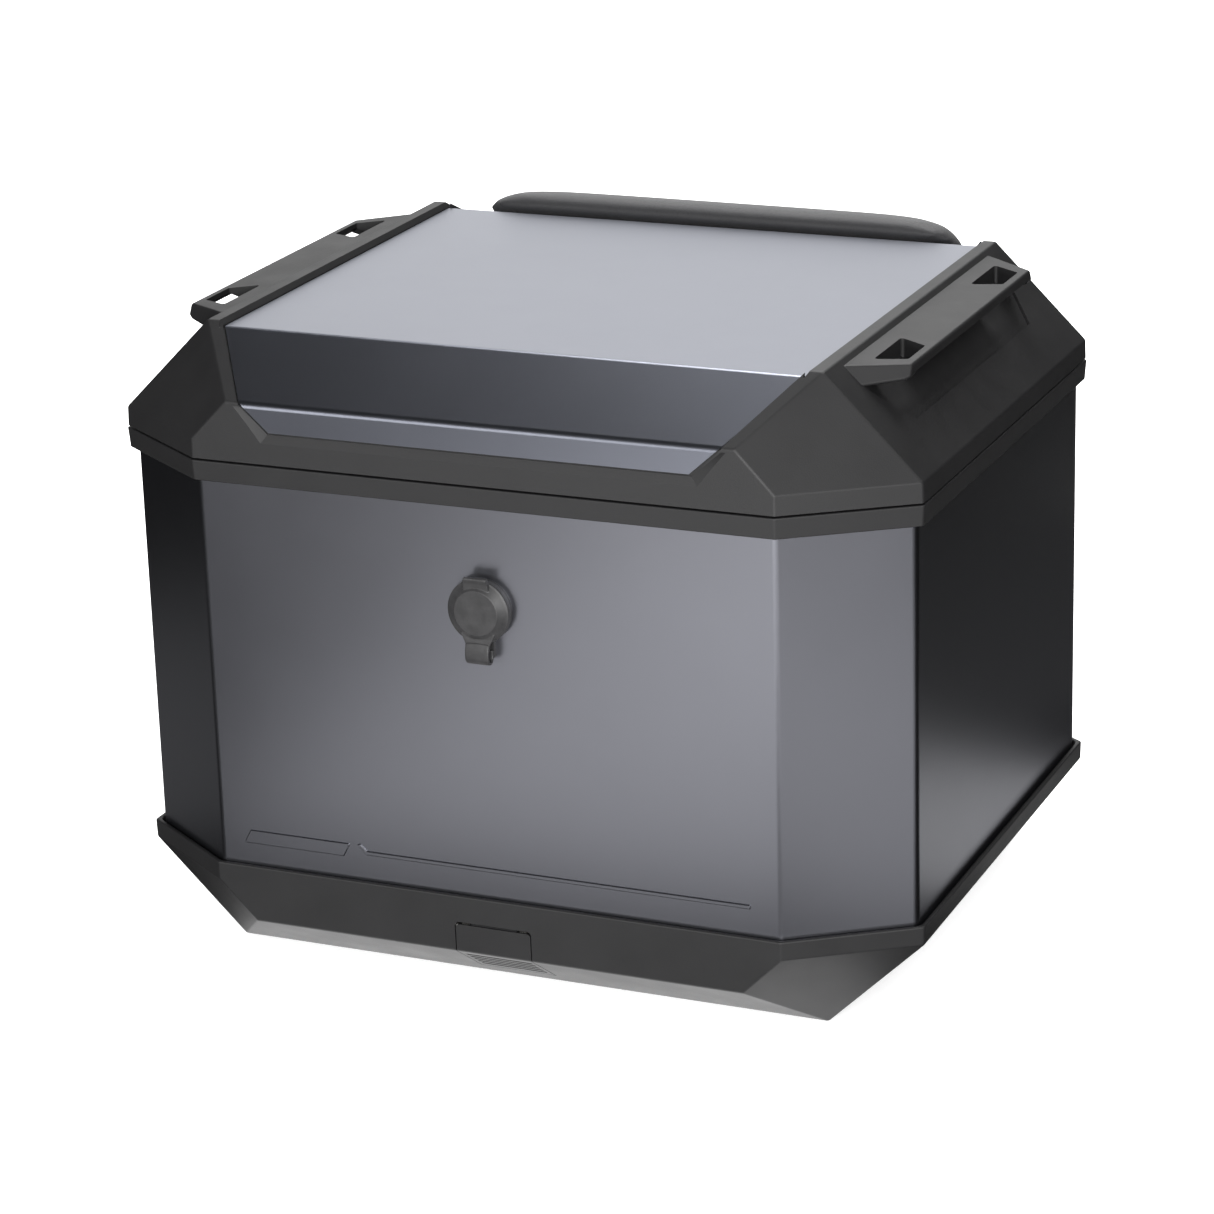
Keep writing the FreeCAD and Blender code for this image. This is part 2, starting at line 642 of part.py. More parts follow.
# ---------------------------------------------------------------- quick release

def release_paddle():
    """Finger paddle flush with the tray's front and under-slope."""
    skin = rounded_except(tray_form(TRAY_TOP_Z, 0, 0, 0), EDGE_R, TRAY_TOP_Z)
    skin = skin.cut(tray_form(TRAY_TOP_Z + 1, SKIN, SKIN, FLOOR))
    block = box(-PADDLE_HALF_W, PADDLE_HALF_W, -HALF_D - 9, PADDLE_END_Y, 1, PADDLE_TOP_Z)
    sides = [e for e in block.Edges if abs(abs(e.CenterOfMass.x) - PADDLE_HALF_W) < 0.1]
    paddle = skin.common(block.makeFillet(2, [e for e in sides if level(e, PADDLE_TOP_Z)]))
    paddle = paddle.fuse(rod(3.2, (-12.5, PIVOT_Y, PIVOT_Z), (12.5, PIVOT_Y, PIVOT_Z)))
    paddle = paddle.fuse(box(-4, 4, -152.5, -149.5, 13.5, 28.5))
    for side in (1, -1):
        x0, x1 = side * 13.1, side * 18.6
        paddle = paddle.cut(rod(3.3, (x0, PIVOT_Y, PIVOT_Z), (x1, PIVOT_Y, PIVOT_Z)))
    paddle = paddle.cut(rod(PADDLE_PIN_R + RUN_FIT, (-30, PIVOT_Y, PIVOT_Z), (30, PIVOT_Y, PIVOT_Z)))
    fall = TRAY_FOLD_Z / (HALF_D - TRAY_FLAT_Y)
    for groove in range(5):
        y = -HALF_D + 6.0 + groove * 4.4
        z = (-TRAY_FLAT_Y - y) * fall - 0.75
        paddle = paddle.cut(rod(1.6, (-18.2, y, z), (18.2, y, z)))
    return paddle.removeSplitter()


def paddle_pin():
    return rod(PADDLE_PIN_R, (-25, PIVOT_Y, PIVOT_Z), (25, PIVOT_Y, PIVOT_Z))


def paddle_spring():
    """Torsion springs, one at each end of the pin."""
    wire_r = 0.45
    coil_r = 2.3
    coil = Part.makeHelix(1.05, 4.2, coil_r)
    start = coil.Edges[0].valueAt(coil.Edges[0].FirstParameter)
    section = Part.Wire(Part.makeCircle(wire_r, start, Vector(0, 1, 0)))
    spring = Part.Wire(coil.Edges).makePipeShell([section], True, True)
    turn = FreeCAD.Rotation(Vector(0, 0, 1), Vector(1, 0, 0))
    springs = []
    for x in (13.7, -17.9):
        copy = spring.copy()
        copy.Placement = FreeCAD.Placement(Vector(x, PIVOT_Y, PIVOT_Z), turn)
        springs.append(copy)
    return Part.makeCompound(springs)


def latch_bolt():
    """Sliding bolt drawn back by the paddle, with a sloped nose."""
    outline = [(-158, 22.5), (-154.5, 20.0), (-110, 20.0), (-103.5, 26.0), (-103.5, 28.0), (-158, 28.0)]
    bolt = plate_x(outline, -14, 14)
    return bolt.cut(box(-5, 5, -154.4, -147.6, 19, 29))


def housing_block(inset):
    block = box(-33 + inset, 33 - inset, -172, -86 - inset, FLOOR - 1, HOUSING_TOP_Z - inset)
    slant = Vector(0, 13.9, 64)
    return keep_inside(block, [moved_in(slant, Vector(0, -150, HOUSING_TOP_Z), inset)])


def latch_housing():
    """Cover that closes the release mechanism off from the inside of the case."""
    cover = rounded_along(housing_block(0), 2.5, Vector(0, 0, 1)).cut(housing_block(2.5))
    for side in (1, -1):
        x0, x1 = sorted((side * 32, side * 45))
        cover = cover.fuse(box(x0, x1, -128, -92, FLOOR, FLOOR + 2.5))
    return cover.common(tray_cavity())


def latch_housing_screws():
    screws = []
    for x in (-39, 39):
        for y in (-121, -99):
            screws.append(fastener((x, y, FLOOR + 2.5), (0, 0, 1), 3.4, 1.8, 1.5, 4.5))
    return Part.makeCompound(screws)


# ---------------------------------------------------------------- lid

PANEL_LINE = [
    (-PANEL_FACE, PANEL_BOTTOM_Z), (-PANEL_FACE, PANEL_FOLD_Z), (-PANEL_TOP_Y, PANEL_TOP_Z),
    (PANEL_TOP_Y, PANEL_TOP_Z), (PANEL_FACE, PANEL_FOLD_Z), (PANEL_FACE, PANEL_BOTTOM_Z),
]


def panel_outline(shape, gap):
    """Trim a shape to the panel's outline seen from above and from the ends."""
    wide = PANEL_TOP_X + gap
    fold = PANEL_FOLD_X + gap
    end = PANEL_END_X + gap
    corner = PANEL_TOP_Y + gap
    far = HALF_D + 20
    beyond = fold - (wide - fold) * (far - PANEL_FACE) / (PANEL_FACE - corner)
    quarter = [(beyond, -far), (wide, -corner), (wide, corner), (beyond, far)]
    plan = plate_z(quarter + [(-x, y) for x, y in reversed(quarter)], 280, 360)
    low = PANEL_BOTTOM_Z - gap
    right = [(end, low), (fold, PANEL_FOLD_Z), (wide + 20, PANEL_FOLD_Z), (wide + 20, 360)]
    ends = plate_y(right + [(-x, z) for x, z in reversed(right)], -far, far)
    return shape.common(plan).common(ends)


def lid_panel():
    inner = offset_line(PANEL_LINE, -SHEET)
    bends = [0, 4.0, 4.0, 4.0, 4.0, 0]
    inner_bends = [0, 2.5, 2.5, 2.5, 2.5, 0]
    sheet = plate_x(PANEL_LINE + inner[::-1], -PANEL_TOP_X - 5, PANEL_TOP_X + 5, bends + inner_bends)
    return panel_outline(sheet, 0)


def lid_frame():
    """Moulded lid: facets outside, seat for the panel, seal flange and striker boss inside."""
    lid = rounded_except(lid_form(LID_BOTTOM_Z, 0, 0, 0, 0), EDGE_R, LID_BOTTOM_Z)
    lid = lid.cut(lid_form(LID_BOTTOM_Z - 1, LID_SKIN, LID_SKIN, LID_END_SKIN, LID_TOP_SKIN))
    lid = lid.fuse(ring(LID_SKIN - 0.5, 12, GASKET_TOP_Z, GASKET_TOP_Z + 2.5))
    lid = lid.fuse(box(-22, 22, -171.5, -158, GASKET_TOP_Z, 303))
    seat = offset_line(PANEL_LINE, -SHEET)
    far = HALF_D + 15
    seat[0] = (-PANEL_FACE + SHEET, PANEL_BOTTOM_Z - PANEL_GAP - 1)
    seat[-1] = (PANEL_FACE - SHEET, PANEL_BOTTOM_Z - PANEL_GAP - 1)
    space = [(-far, seat[0][1])] + seat + [(far, seat[0][1]), (far, 355), (-far, 355)]
    bends = [0, 0, 2.5, 2.5, 2.5, 2.5, 0, 0, 0, 0]
    lid = lid.cut(panel_outline(plate_x(space, -170, 170, bends), PANEL_GAP))
    window = rounded_along(box(-140, 140, -116, 116, 325, 340), 8, Vector(0, 0, 1))
    lid = lid.cut(window)
    for side in (1, -1):
        lid = lid.cut(ridge_bevel(side))
        lid = lid.cut(rail_recess(side))
        lid = lid.cut(panel_border(side))
    return lid.removeSplitter()


def ridge_bevel(side):
    """Slope between the side ridge and the panel."""
    edge = PANEL_TOP_X + PANEL_GAP
    section = [(edge - 0.5, 333.2), (edge, 333.2), (edge + 2.2, 337), (edge - 0.5, 337)]
    return plate_y([(side * x, z) for x, z in section], -LID_FLAT_Y - 5, LID_FLAT_Y + 5)


def rail_recess(side):
    """Shallow recess in the side slope under each rail."""
    depth = 1.4
    foot = HALF_W + LID_BAND_Z
    half = [(91.5, 304.0), (105.5, 317.3), (111.0, 323.2)]
    points = half + [(-y, z) for y, z in reversed(half)]
    lift = 0.5
    face = outline_face(points, lambda p: Vector(side * (foot - p.y + lift), p.x, p.y + lift), 2.0)
    return face.extrude(Vector(-side, 0, -1) * (lift + depth / math.sqrt(2)))


def panel_border(side):
    """Bevel round the panel's lower end, on the front and back faces."""
    def edge(grow, y):
        end = PANEL_END_X + grow * 0.8
        fold = PANEL_FOLD_X + grow * 0.8
        low = PANEL_BOTTOM_Z - grow
        points = [(-end, low), (end, low), (fold, PANEL_FOLD_Z - 1.5), (-fold, PANEL_FOLD_Z - 1.5)]
        corners = [Vector(x, side * y, z) for x, z in points]
        return Part.makePolygon(corners + [corners[0]])
    inner = edge(PANEL_GAP, PANEL_FACE - 1.0)
    outer = edge(PANEL_BORDER + 3, HALF_D + 1.2)
    return Part.makeLoft([inner, outer], True, True)


def lid_lining():
    return rounded_along(box(-150, 150, -124, 124, 326.4, LID_FLAT_Z - LID_TOP_SKIN), 10, Vector(0, 0, 1))


def lid_gasket():
    return ring(5.6, RIM_INNER, GASKET_BOTTOM_Z, GASKET_TOP_Z)


def tie_down_rail():
    """Right-hand rail: a wing on the side slope with two strap slots."""
    section = [(166.9, 333.6), (RAIL_TIP_X, 332.0), (RAIL_TIP_X, 326.0), (192.6, 324.6), (177.0, 323.5)]
    face = outline_face(section, lambda p: Vector(p.x, -130, p.y), [0, 1.6, 1.6, 0.8, 0])
    rail = face.extrude(Vector(0, 260, 0))
    root = Vector(166.9, RAIL_ROOT_Y, 333.6)
    tip = Vector(RAIL_TIP_X, RAIL_TIP_Y, 332.0)
    foot = Vector(177.0, RAIL_ROOT_Y - 1, 323.5)
    end = (foot - root).cross(tip - root)
    if end.y < 0:
        end = end * -1
    far_end = Vector(end.x, -end.y, end.z)
    far_root = Vector(root.x, -root.y, root.z)
    rail = keep_inside(rail, [moved_in(end, root, 0), moved_in(far_end, far_root, 0)])
    ends = []
    for edge in rail.Edges:
        middle = edge.CenterOfMass
        if abs(middle.y) > 92 and abs(middle.y) < 111 and middle.x > 170 and middle.z > 324:
            ends.append(edge)
    rail = rail.makeFillet(1.4, ends)
    for side in (1, -1):
        points = [(176.0, side * 54.0), (176.0, side * 95.0), (191.0, side * 87.0), (191.0, side * 62.0)]
        slot = plate_z(points, 315, 345, 1.6)
        rail = rail.cut(slot)
    return rail.cut(rail_underside()).removeSplitter()


def rail_underside():
    """Space under the rail, between its two end walls; it leaves a thin lip along the tip."""
    section = [(178.5, 322.9), (191.4, 329.8), (193.6, 327.0), (197.0, 327.6), (197.0, 315.0), (178.5, 315.0)]
    plan = [(178.0, 101.5), (198.0, 88.5), (198.0, -88.5), (178.0, -101.5)]
    return plate_y(section, -120, 120).common(plate_z(plan, 310, 335))


def rail_screws():
    screws = []
    slope = 1 / math.sqrt(2)
    for side in (1, -1):
        for y in (-42, 0, 42):
            out = Vector(side * slope, 0, slope)
            seat = Vector(side * 171.9, y, 328.4) - out * LID_SKIN
            screws.append(fastener(tuple(seat), tuple(out * -1), 3.6, 2.0, 1.6, LID_SKIN + 4.2))
    return Part.makeCompound(screws)


def backrest_line():
    """The panel's outside where the backrest sits on it, from the ridge downwards."""
    fall = (PANEL_TOP_Z - PANEL_FOLD_Z) / (PANEL_FACE - PANEL_TOP_Y)
    start_y = 140.0
    start_z = PANEL_TOP_Z - (start_y - PANEL_TOP_Y) * fall
    return [(start_y, start_z), (PANEL_FACE, PANEL_FOLD_Z), (PANEL_FACE, 299.5)]


def backrest_plate():
    inner = offset_line(backrest_line(), 0.1)
    outer = offset_line(backrest_line(), 3.1)
    plate = plate_x(inner + outer[::-1], -118, 118, [0, 4, 0, 0, 7, 0])
    return plate


def backrest_pad():
    """Foam and leathercloth pad, as a plain solid."""
    inner = offset_line(backrest_line(), 3.1)
    start = (138.6, 333.9)
    outer = [
        (177.4, 298.8), (183.0, 298.8), (187.5, 304.0), (188.0, 313.0), (181.0, 325.5),
        (169.0, 336.0), (155.0, 342.0), (147.0, 342.4), (141.0, 339.0),
    ]
    radii = [0, 0, 0, 0, 2, 4, 4, 8, 10, 8, 4, 3]
    points = [start, (inner[1][0] + 0.02, inner[1][1] + 0.02), (177.4, 306.0)] + outer
    pad = plate_x(points, -139.5, 139.5, radii)
    trims = []
    for side in (1, -1):
        trims.append(moved_in(Vector(side * 0.35, 0, 0.94), Vector(side * 121.0, 0, 341.0), 0))
        trims.append(moved_in(Vector(side * 0.8, 0, 0.6), Vector(side * 132.0, 0, 337.0), 0))
        trims.append(moved_in(Vector(side * 0.75, 0.66, 0), Vector(side * 132.0, 187.0, 0), 0))
        trims.append(moved_in(Vector(side * 0.8, 0, -0.6), Vector(side * 134.0, 0, 299.0), 0))
    return keep_inside(pad, trims)


def backrest_screws():
    screws = []
    rise = PANEL_TOP_Z - PANEL_FOLD_Z
    run = PANEL_FACE - PANEL_TOP_Y
    length = math.hypot(rise, run)
    out = Vector(0, rise / length, run / length)
    for x in (-90, -30, 30, 90):
        on_panel = Vector(x, 156.0, PANEL_TOP_Z - (156.0 - PANEL_TOP_Y) * rise / run)
        screws.append(fastener(tuple(on_panel - out * 5.6), tuple(out * -1), 4, 2.2, 1.9, 8.2))
    return Part.makeCompound(screws)


def lid_striker():
    """Hook plate hanging from the lid; the cam's bent tip swings in above its arm."""
    points = [(-20, 302), (-20, 288), (-16, 286), (-16, 253), (9, 253), (9, 258)]
    points += [(-8.5, 258), (-8.5, 286), (20, 288), (20, 302)]
    return plate_y(points, -158, -156, [3, 2, 1, 2, 2, 1, 1, 1, 3, 3])


def striker_screws():
    screws = []
    for x in (-14, 14):
        screws.append(fastener((x, -156, 295), (0, 1, 0), 3.6, 2.0, 1.8, 10))
    return Part.makeCompound(screws)


# ---------------------------------------------------------------- output

def main():
    rail = tie_down_rail()
    parts = {
        "case_wall": case_wall(),
        "wall_seam_strip": wall_seam_strip(),
        "wall_rivets": wall_rivets(),
        "bottom_tray": bottom_tray(),
        "tray_rivets": tray_rivets(),
        "mount_plate": mount_plate(),
        "mount_plate_screws": mount_plate_screws(),
        "hook_cup_left": hook_cup(-1),
        "hook_cup_right": hook_cup(1),
        "bolt_guide": bolt_guide(),
        "upper_rim": upper_rim(),
        "rim_rivets": rim_rivets(),
        "floor_mat": floor_mat(),
        "hinge_bracket_left": hinge_bracket(-HINGE_X),
        "hinge_bracket_right": hinge_bracket(HINGE_X),
        "hinge_pin_left": hinge_pin(-HINGE_X),
        "hinge_pin_right": hinge_pin(HINGE_X),
        "hinge_case_screws": hinge_case_screws(),
        "lock_base_ring": lock_base_ring(),
        "lock_body": lock_body(),
        "lock_nut": lock_nut(),
        "lock_plug": lock_plug(),
        "lock_cam": lock_cam(),
        "cam_screw": cam_screw(),
        "dust_cap": dust_cap(),
        "dust_cap_strap": dust_cap_strap(),
        "release_paddle": release_paddle(),
        "paddle_pin": paddle_pin(),
        "paddle_spring": paddle_spring(),
        "latch_bolt": latch_bolt(),
        "latch_housing": latch_housing(),
        "latch_housing_screws": latch_housing_screws(),
        "lid_frame": lid_frame(),
        "lid_panel": lid_panel(),
        "lid_lining": lid_lining(),
        "lid_gasket": lid_gasket(),
        "tie_down_rail_right": rail,
        "tie_down_rail_left": mirrored(rail),
        "rail_screws": rail_screws(),
        "backrest_plate": backrest_plate(),
        "backrest_pad": backrest_pad(),
        "backrest_screws": backrest_screws(),
        "lid_striker": lid_striker(),
        "striker_screws": striker_screws(),
        "hinge_leaf_left": hinge_leaf(-HINGE_X),
        "hinge_leaf_right": hinge_leaf(HINGE_X),
        "hinge_lid_screws": hinge_lid_screws(),
    }
    os.makedirs("parts", exist_ok=True)
    for name, shape in parts.items():
        shape.exportStep(f"parts/{name}.step")
        print(name, "valid" if shape.isValid() else "INVALID", len(shape.Solids), round(shape.Volume))


main()
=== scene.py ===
import json
import math

import bmesh
import bpy
import numpy as np
from mathutils import Matrix, Vector


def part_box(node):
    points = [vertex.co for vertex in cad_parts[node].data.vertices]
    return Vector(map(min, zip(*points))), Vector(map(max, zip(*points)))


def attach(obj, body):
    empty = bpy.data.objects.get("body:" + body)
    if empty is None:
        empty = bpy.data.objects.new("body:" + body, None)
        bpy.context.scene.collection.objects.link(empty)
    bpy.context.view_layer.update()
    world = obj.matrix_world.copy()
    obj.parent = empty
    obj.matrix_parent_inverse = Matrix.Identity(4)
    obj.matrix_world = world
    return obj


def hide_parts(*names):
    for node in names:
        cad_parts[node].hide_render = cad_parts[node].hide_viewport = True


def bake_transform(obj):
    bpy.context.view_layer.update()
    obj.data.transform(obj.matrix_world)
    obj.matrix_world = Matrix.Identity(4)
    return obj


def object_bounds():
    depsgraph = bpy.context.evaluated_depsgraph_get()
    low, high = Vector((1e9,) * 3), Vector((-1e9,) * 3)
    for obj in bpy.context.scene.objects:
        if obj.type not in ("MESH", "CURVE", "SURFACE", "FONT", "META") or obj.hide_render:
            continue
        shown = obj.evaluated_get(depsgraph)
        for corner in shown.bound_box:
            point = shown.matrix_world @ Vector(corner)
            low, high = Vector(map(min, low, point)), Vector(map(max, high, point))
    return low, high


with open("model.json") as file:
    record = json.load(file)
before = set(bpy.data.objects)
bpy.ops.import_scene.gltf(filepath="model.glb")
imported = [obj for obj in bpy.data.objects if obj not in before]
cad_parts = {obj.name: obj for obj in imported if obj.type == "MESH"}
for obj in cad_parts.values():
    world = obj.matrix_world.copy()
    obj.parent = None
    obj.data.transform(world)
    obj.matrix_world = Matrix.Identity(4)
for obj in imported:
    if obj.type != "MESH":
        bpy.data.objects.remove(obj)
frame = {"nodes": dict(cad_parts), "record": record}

cad_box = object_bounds()

MM = 0.001


# ---------------------------------------------------------------- node helpers

class Finish:
    """A procedural material: a principled surface and short calls for the textures it uses."""

    def __init__(self, name, **constants):
        self.material = bpy.data.materials.new(name)
        self.material.use_nodes = True
        self.tree = self.material.node_tree
        self.surface = self.tree.nodes["Principled BSDF"]
        for socket, value in constants.items():
            self.surface.inputs[socket.replace("_", " ")].default_value = value
        self.place = self.add("ShaderNodeTexCoord").outputs["Object"]

    def add(self, kind, inputs=None, **settings):
        """Make a node; inputs are numbers or other nodes' outputs."""
        node = self.tree.nodes.new(kind)
        for key, value in settings.items():
            setattr(node, key, value)
        for key, value in (inputs or {}).items():
            self.plug(node.inputs[key], value)
        return node

    def plug(self, socket, value):
        """Link a node's output to the socket, or set the socket to a plain value."""
        if isinstance(value, bpy.types.NodeSocket):
            self.tree.links.new(value, socket)
        else:
            socket.default_value = value

    def stretched(self, x, y, z):
        """Object coordinates scaled along each axis; a small number draws a pattern out."""
        return self.add("ShaderNodeMapping", {"Vector": self.place, "Scale": (x, y, z)}).outputs[0]

    def noise(self, size, detail=2.0, rough=0.5, place=None):
        """Soft random pattern with features of about the given size, in metres."""
        inputs = {"Vector": place or self.place, "Scale": 1 / size, "Detail": detail, "Roughness": rough}
        return self.add("ShaderNodeTexNoise", inputs).outputs["Fac"]

    def cells(self, size, feature="F1", place=None):
        """Cell pattern with cells of about the given size, in metres."""
        node = self.add("ShaderNodeTexVoronoi", {"Vector": place or self.place}, feature=feature)
        node.inputs["Scale"].default_value = 1 / size
        if feature == "SMOOTH_F1":
            node.inputs["Smoothness"].default_value = 0.3
        return node.outputs["Distance"]

    def span(self, value, low, high, out_low=0.0, out_high=1.0):
        """Map the range low to high onto out_low to out_high, and clamp what is past it."""
        inputs = {"Value": value, "From Min": low, "From Max": high, "To Min": out_low, "To Max": out_high}
        return self.add("ShaderNodeMapRange", inputs, clamp=True).outputs[0]

    def maths(self, operation, a, b):
        """One sum, product or the like of two values."""
        node = self.add("ShaderNodeMath", operation=operation)
        self.plug(node.inputs[0], a)
        self.plug(node.inputs[1], b)
        return node.outputs[0]

    def mix(self, factor, a, b):
        """Colour a where the factor is 0 and colour b where it is 1."""
        node = self.add("ShaderNodeMix", data_type="RGBA")
        colours = [socket for socket in node.inputs if socket.type == "RGBA"]
        self.plug(node.inputs[0], factor)
        self.plug(colours[0], rgba(a))
        self.plug(colours[1], rgba(b))
        return [socket for socket in node.outputs if socket.type == "RGBA"][0]

    def edges(self, radius):
        """1 on sharp edges and 0 on flats."""
        soft = self.add("ShaderNodeBevel", {"Radius": radius}, samples=4)
        hard = self.add("ShaderNodeNewGeometry")
        dot = self.add("ShaderNodeVectorMath", operation="DOT_PRODUCT")
        self.plug(dot.inputs[0], soft.outputs[0])
        self.plug(dot.inputs[1], hard.outputs["Normal"])
        return self.span(dot.outputs["Value"], 1.0, 0.86)

    def bump(self, *layers):
        """Each layer is (height, depth in metres)."""
        normal = None
        for height, depth in layers:
            node = self.add("ShaderNodeBump", {"Height": height, "Distance": depth, "Strength": 1.0})
            if normal is not None:
                self.plug(node.inputs["Normal"], normal)
            normal = node.outputs[0]
        self.plug(self.surface.inputs["Normal"], normal)

    def set(self, **links):
        """Drive the surface's sockets and hand over the finished material."""
        for socket, value in links.items():
            self.plug(self.surface.inputs[socket.replace("_", " ")], value)
        return self.material


def rgba(colour):
    """A colour with its alpha; anything else passes through."""
    return (*colour, 1.0) if isinstance(colour, tuple) and len(colour) == 3 else colour


def toned(colour, share, lift=0.0):
    """The colour made darker or lighter by a share, and lifted by a flat amount."""
    return tuple(c * share + lift for c in colour)


# ---------------------------------------------------------------- finishes

def anodised(name, tint):
    """Satin anodised sheet: fine blasted grain, faint rolling lines and handling marks."""
    look = Finish(name, Metallic=1.0, IOR=1.5)
    cloud = look.noise(0.09, 3, 0.6)
    rolled = look.noise(0.0022, 2, 0.5, look.stretched(0.02, 1, 1))
    grain = look.noise(0.00045, 2, 0.6)
    smudge = look.span(look.noise(0.05, 4, 0.7), 0.45, 0.75)
    colour = look.mix(look.span(cloud, 0.3, 0.7), toned(tint, 0.975), tint)
    dullness = look.maths("MULTIPLY", smudge, 0.012)
    roughness = look.maths("ADD", look.span(grain, 0.3, 0.7, 0.31, 0.36), dullness)
    look.bump((rolled, 0.000004), (grain, 0.000008))
    return look.set(Base_Color=colour, Roughness=roughness)


def moulded(name, colour, rough=0.5, grain_size=0.0006, depth=0.00003, edge_highlight_and_wear_share=0.5):
    """Spark-eroded plastic: pebbled grain, flow mottling, and edges polished by use whose colour is lightened
    as a painted highlight mixed with wear.
    """
    look = Finish(name, IOR=1.5)
    grain = look.cells(grain_size, "SMOOTH_F1")
    fine = look.noise(grain_size * 0.5, 2, 0.6)
    flow = look.noise(0.03, 3, 0.55)
    edge_break_up = look.span(look.noise(0.006, 4, 0.7), 0.45, 0.65)
    # Mask on sharp edges, broken up by noise: painted highlight along the edges, partly wear.
    edge_highlight_and_wear = look.maths("MULTIPLY", look.maths("MULTIPLY", look.edges(0.0008), edge_break_up), edge_highlight_and_wear_share)
    mottled = look.mix(look.span(flow, 0.3, 0.7), toned(colour, 0.92), colour)
    polish = look.maths("MULTIPLY", edge_highlight_and_wear, 0.15)
    roughness = look.maths("SUBTRACT", look.span(flow, 0.3, 0.7, rough, rough + 0.07), polish)
    look.bump((grain, depth), (fine, depth * 0.4))
    # Edges mixed to a lighter colour: painted highlight, partly wear; the lower roughness there is polish.
    return look.set(Base_Color=look.mix(edge_highlight_and_wear, mottled, toned(colour, 1.35, 0.01)), Roughness=roughness)


def plated(name, colour, rough=0.28, spangle=0.0016):
    """Plated steel: fine cells in the plating, brushed marks and darker, duller spots."""
    look = Finish(name, Metallic=1.0)
    grain = look.cells(spangle)
    brushed = look.noise(0.0004, 3, 0.6, look.stretched(1, 1, 0.15))
    spots = look.span(look.noise(0.004, 4, 0.65), 0.5, 0.7)
    dullness = look.maths("MULTIPLY", spots, 0.12)
    roughness = look.maths("ADD", look.span(brushed, 0.3, 0.7, rough, rough + 0.12), dullness)
    look.bump((brushed, 0.000006), (grain, 0.000005))
    return look.set(Base_Color=look.mix(spots, colour, toned(colour, 0.7)), Roughness=roughness)


def powder_coat(name, colour):
    """Powder coat: orange-peel waves and bright steel where edges have rubbed through."""
    look = Finish(name, IOR=1.5)
    peel = look.noise(0.0011, 2, 0.4)
    rubbed = look.maths("MULTIPLY", look.edges(0.0006), look.span(look.noise(0.003, 3, 0.7), 0.52, 0.62))
    look.bump((peel, 0.00003))
    shade = look.mix(rubbed, colour, (0.32, 0.32, 0.33))
    return look.set(Base_Color=shade, Roughness=look.span(peel, 0.3, 0.7, 0.34, 0.44), Metallic=rubbed)


def rubber(name, colour, rough=0.62, depth=0.00002, sheen=0.25):
    """Moulded rubber with a fine bloom and a little dust in its grain."""
    look = Finish(name, IOR=1.5, Sheen_Weight=sheen, Sheen_Roughness=0.5)
    grain = look.noise(0.0004, 3, 0.6)
    bloom = look.span(look.noise(0.007, 4, 0.65), 0.4, 0.7)
    shade = look.mix(bloom, colour, toned(colour, 1.25, 0.006))
    look.bump((grain, depth))
    return look.set(Base_Color=shade, Roughness=look.span(grain, 0.3, 0.7, rough, rough + 0.12))


def leather(name, colour):
    """Coated leathercloth: pebble grain with fine creases between the pebbles, darkened by painted shade."""
    look = Finish(name, IOR=1.5, Sheen_Weight=0.12, Sheen_Roughness=0.45)
    wander = look.add("ShaderNodeVectorMath", operation="ADD")
    shake = look.add("ShaderNodeTexNoise", {"Vector": look.place, "Scale": 900.0})
    small = look.add("ShaderNodeVectorMath", operation="SCALE")
    look.plug(small.inputs[0], shake.outputs["Color"])
    small.inputs["Scale"].default_value = 0.0006
    look.plug(wander.inputs[0], look.place)
    look.plug(wander.inputs[1], small.outputs[0])
    pebbles = look.cells(0.0011, "DISTANCE_TO_EDGE", wander.outputs[0])
    crease = look.span(pebbles, 0.0, 0.12)
    fine = look.noise(0.0003, 3, 0.6)
    broad = look.noise(0.03, 3, 0.55)
    pebble_shade = look.mix(look.span(broad, 0.35, 0.65), toned(colour, 0.93), colour)
    # Creases mixed to a darker colour: painted shade in the valleys between the pebbles.
    shade = look.mix(crease, toned(colour, 0.72), pebble_shade)
    look.bump((look.span(pebbles, 0.0, 0.25), 0.00006), (fine, 0.00001))
    return look.set(Base_Color=shade, Roughness=look.span(crease, 0, 1, 0.62, 0.52))


def felt(name, colour):
    """Needled felt: crossing fibres and a soft, uneven nap."""
    look = Finish(name, IOR=1.45, Sheen_Weight=0.6, Sheen_Roughness=0.6)
    along = look.noise(0.0005, 4, 0.7, look.stretched(0.12, 1, 1))
    across = look.noise(0.0005, 4, 0.7, look.stretched(1, 0.12, 1))
    nap = look.noise(0.006, 4, 0.65)
    fibres = look.maths("MAXIMUM", along, across)
    raised = look.maths("MULTIPLY", fibres, look.span(nap, 0.3, 0.7, 0.8, 1.1))
    shade = look.mix(look.span(raised, 0.42, 0.7), colour, toned(colour, 1.6, 0.01))
    look.bump((fibres, 0.0003), (nap, 0.0004))
    return look.set(Base_Color=shade, Roughness=look.span(fibres, 0.3, 0.7, 0.86, 0.97))


def thread(name, colour):
    """Spun sewing thread, darker between its plies."""
    look = Finish(name, IOR=1.45, Sheen_Weight=0.4)
    ply = look.noise(0.0003, 3, 0.6)
    look.bump((ply, 0.00005))
    shade = look.mix(look.span(ply, 0.3, 0.7), toned(colour, 0.7), colour)
    return look.set(Base_Color=shade, Roughness=look.span(ply, 0.3, 0.7, 0.6, 0.8))


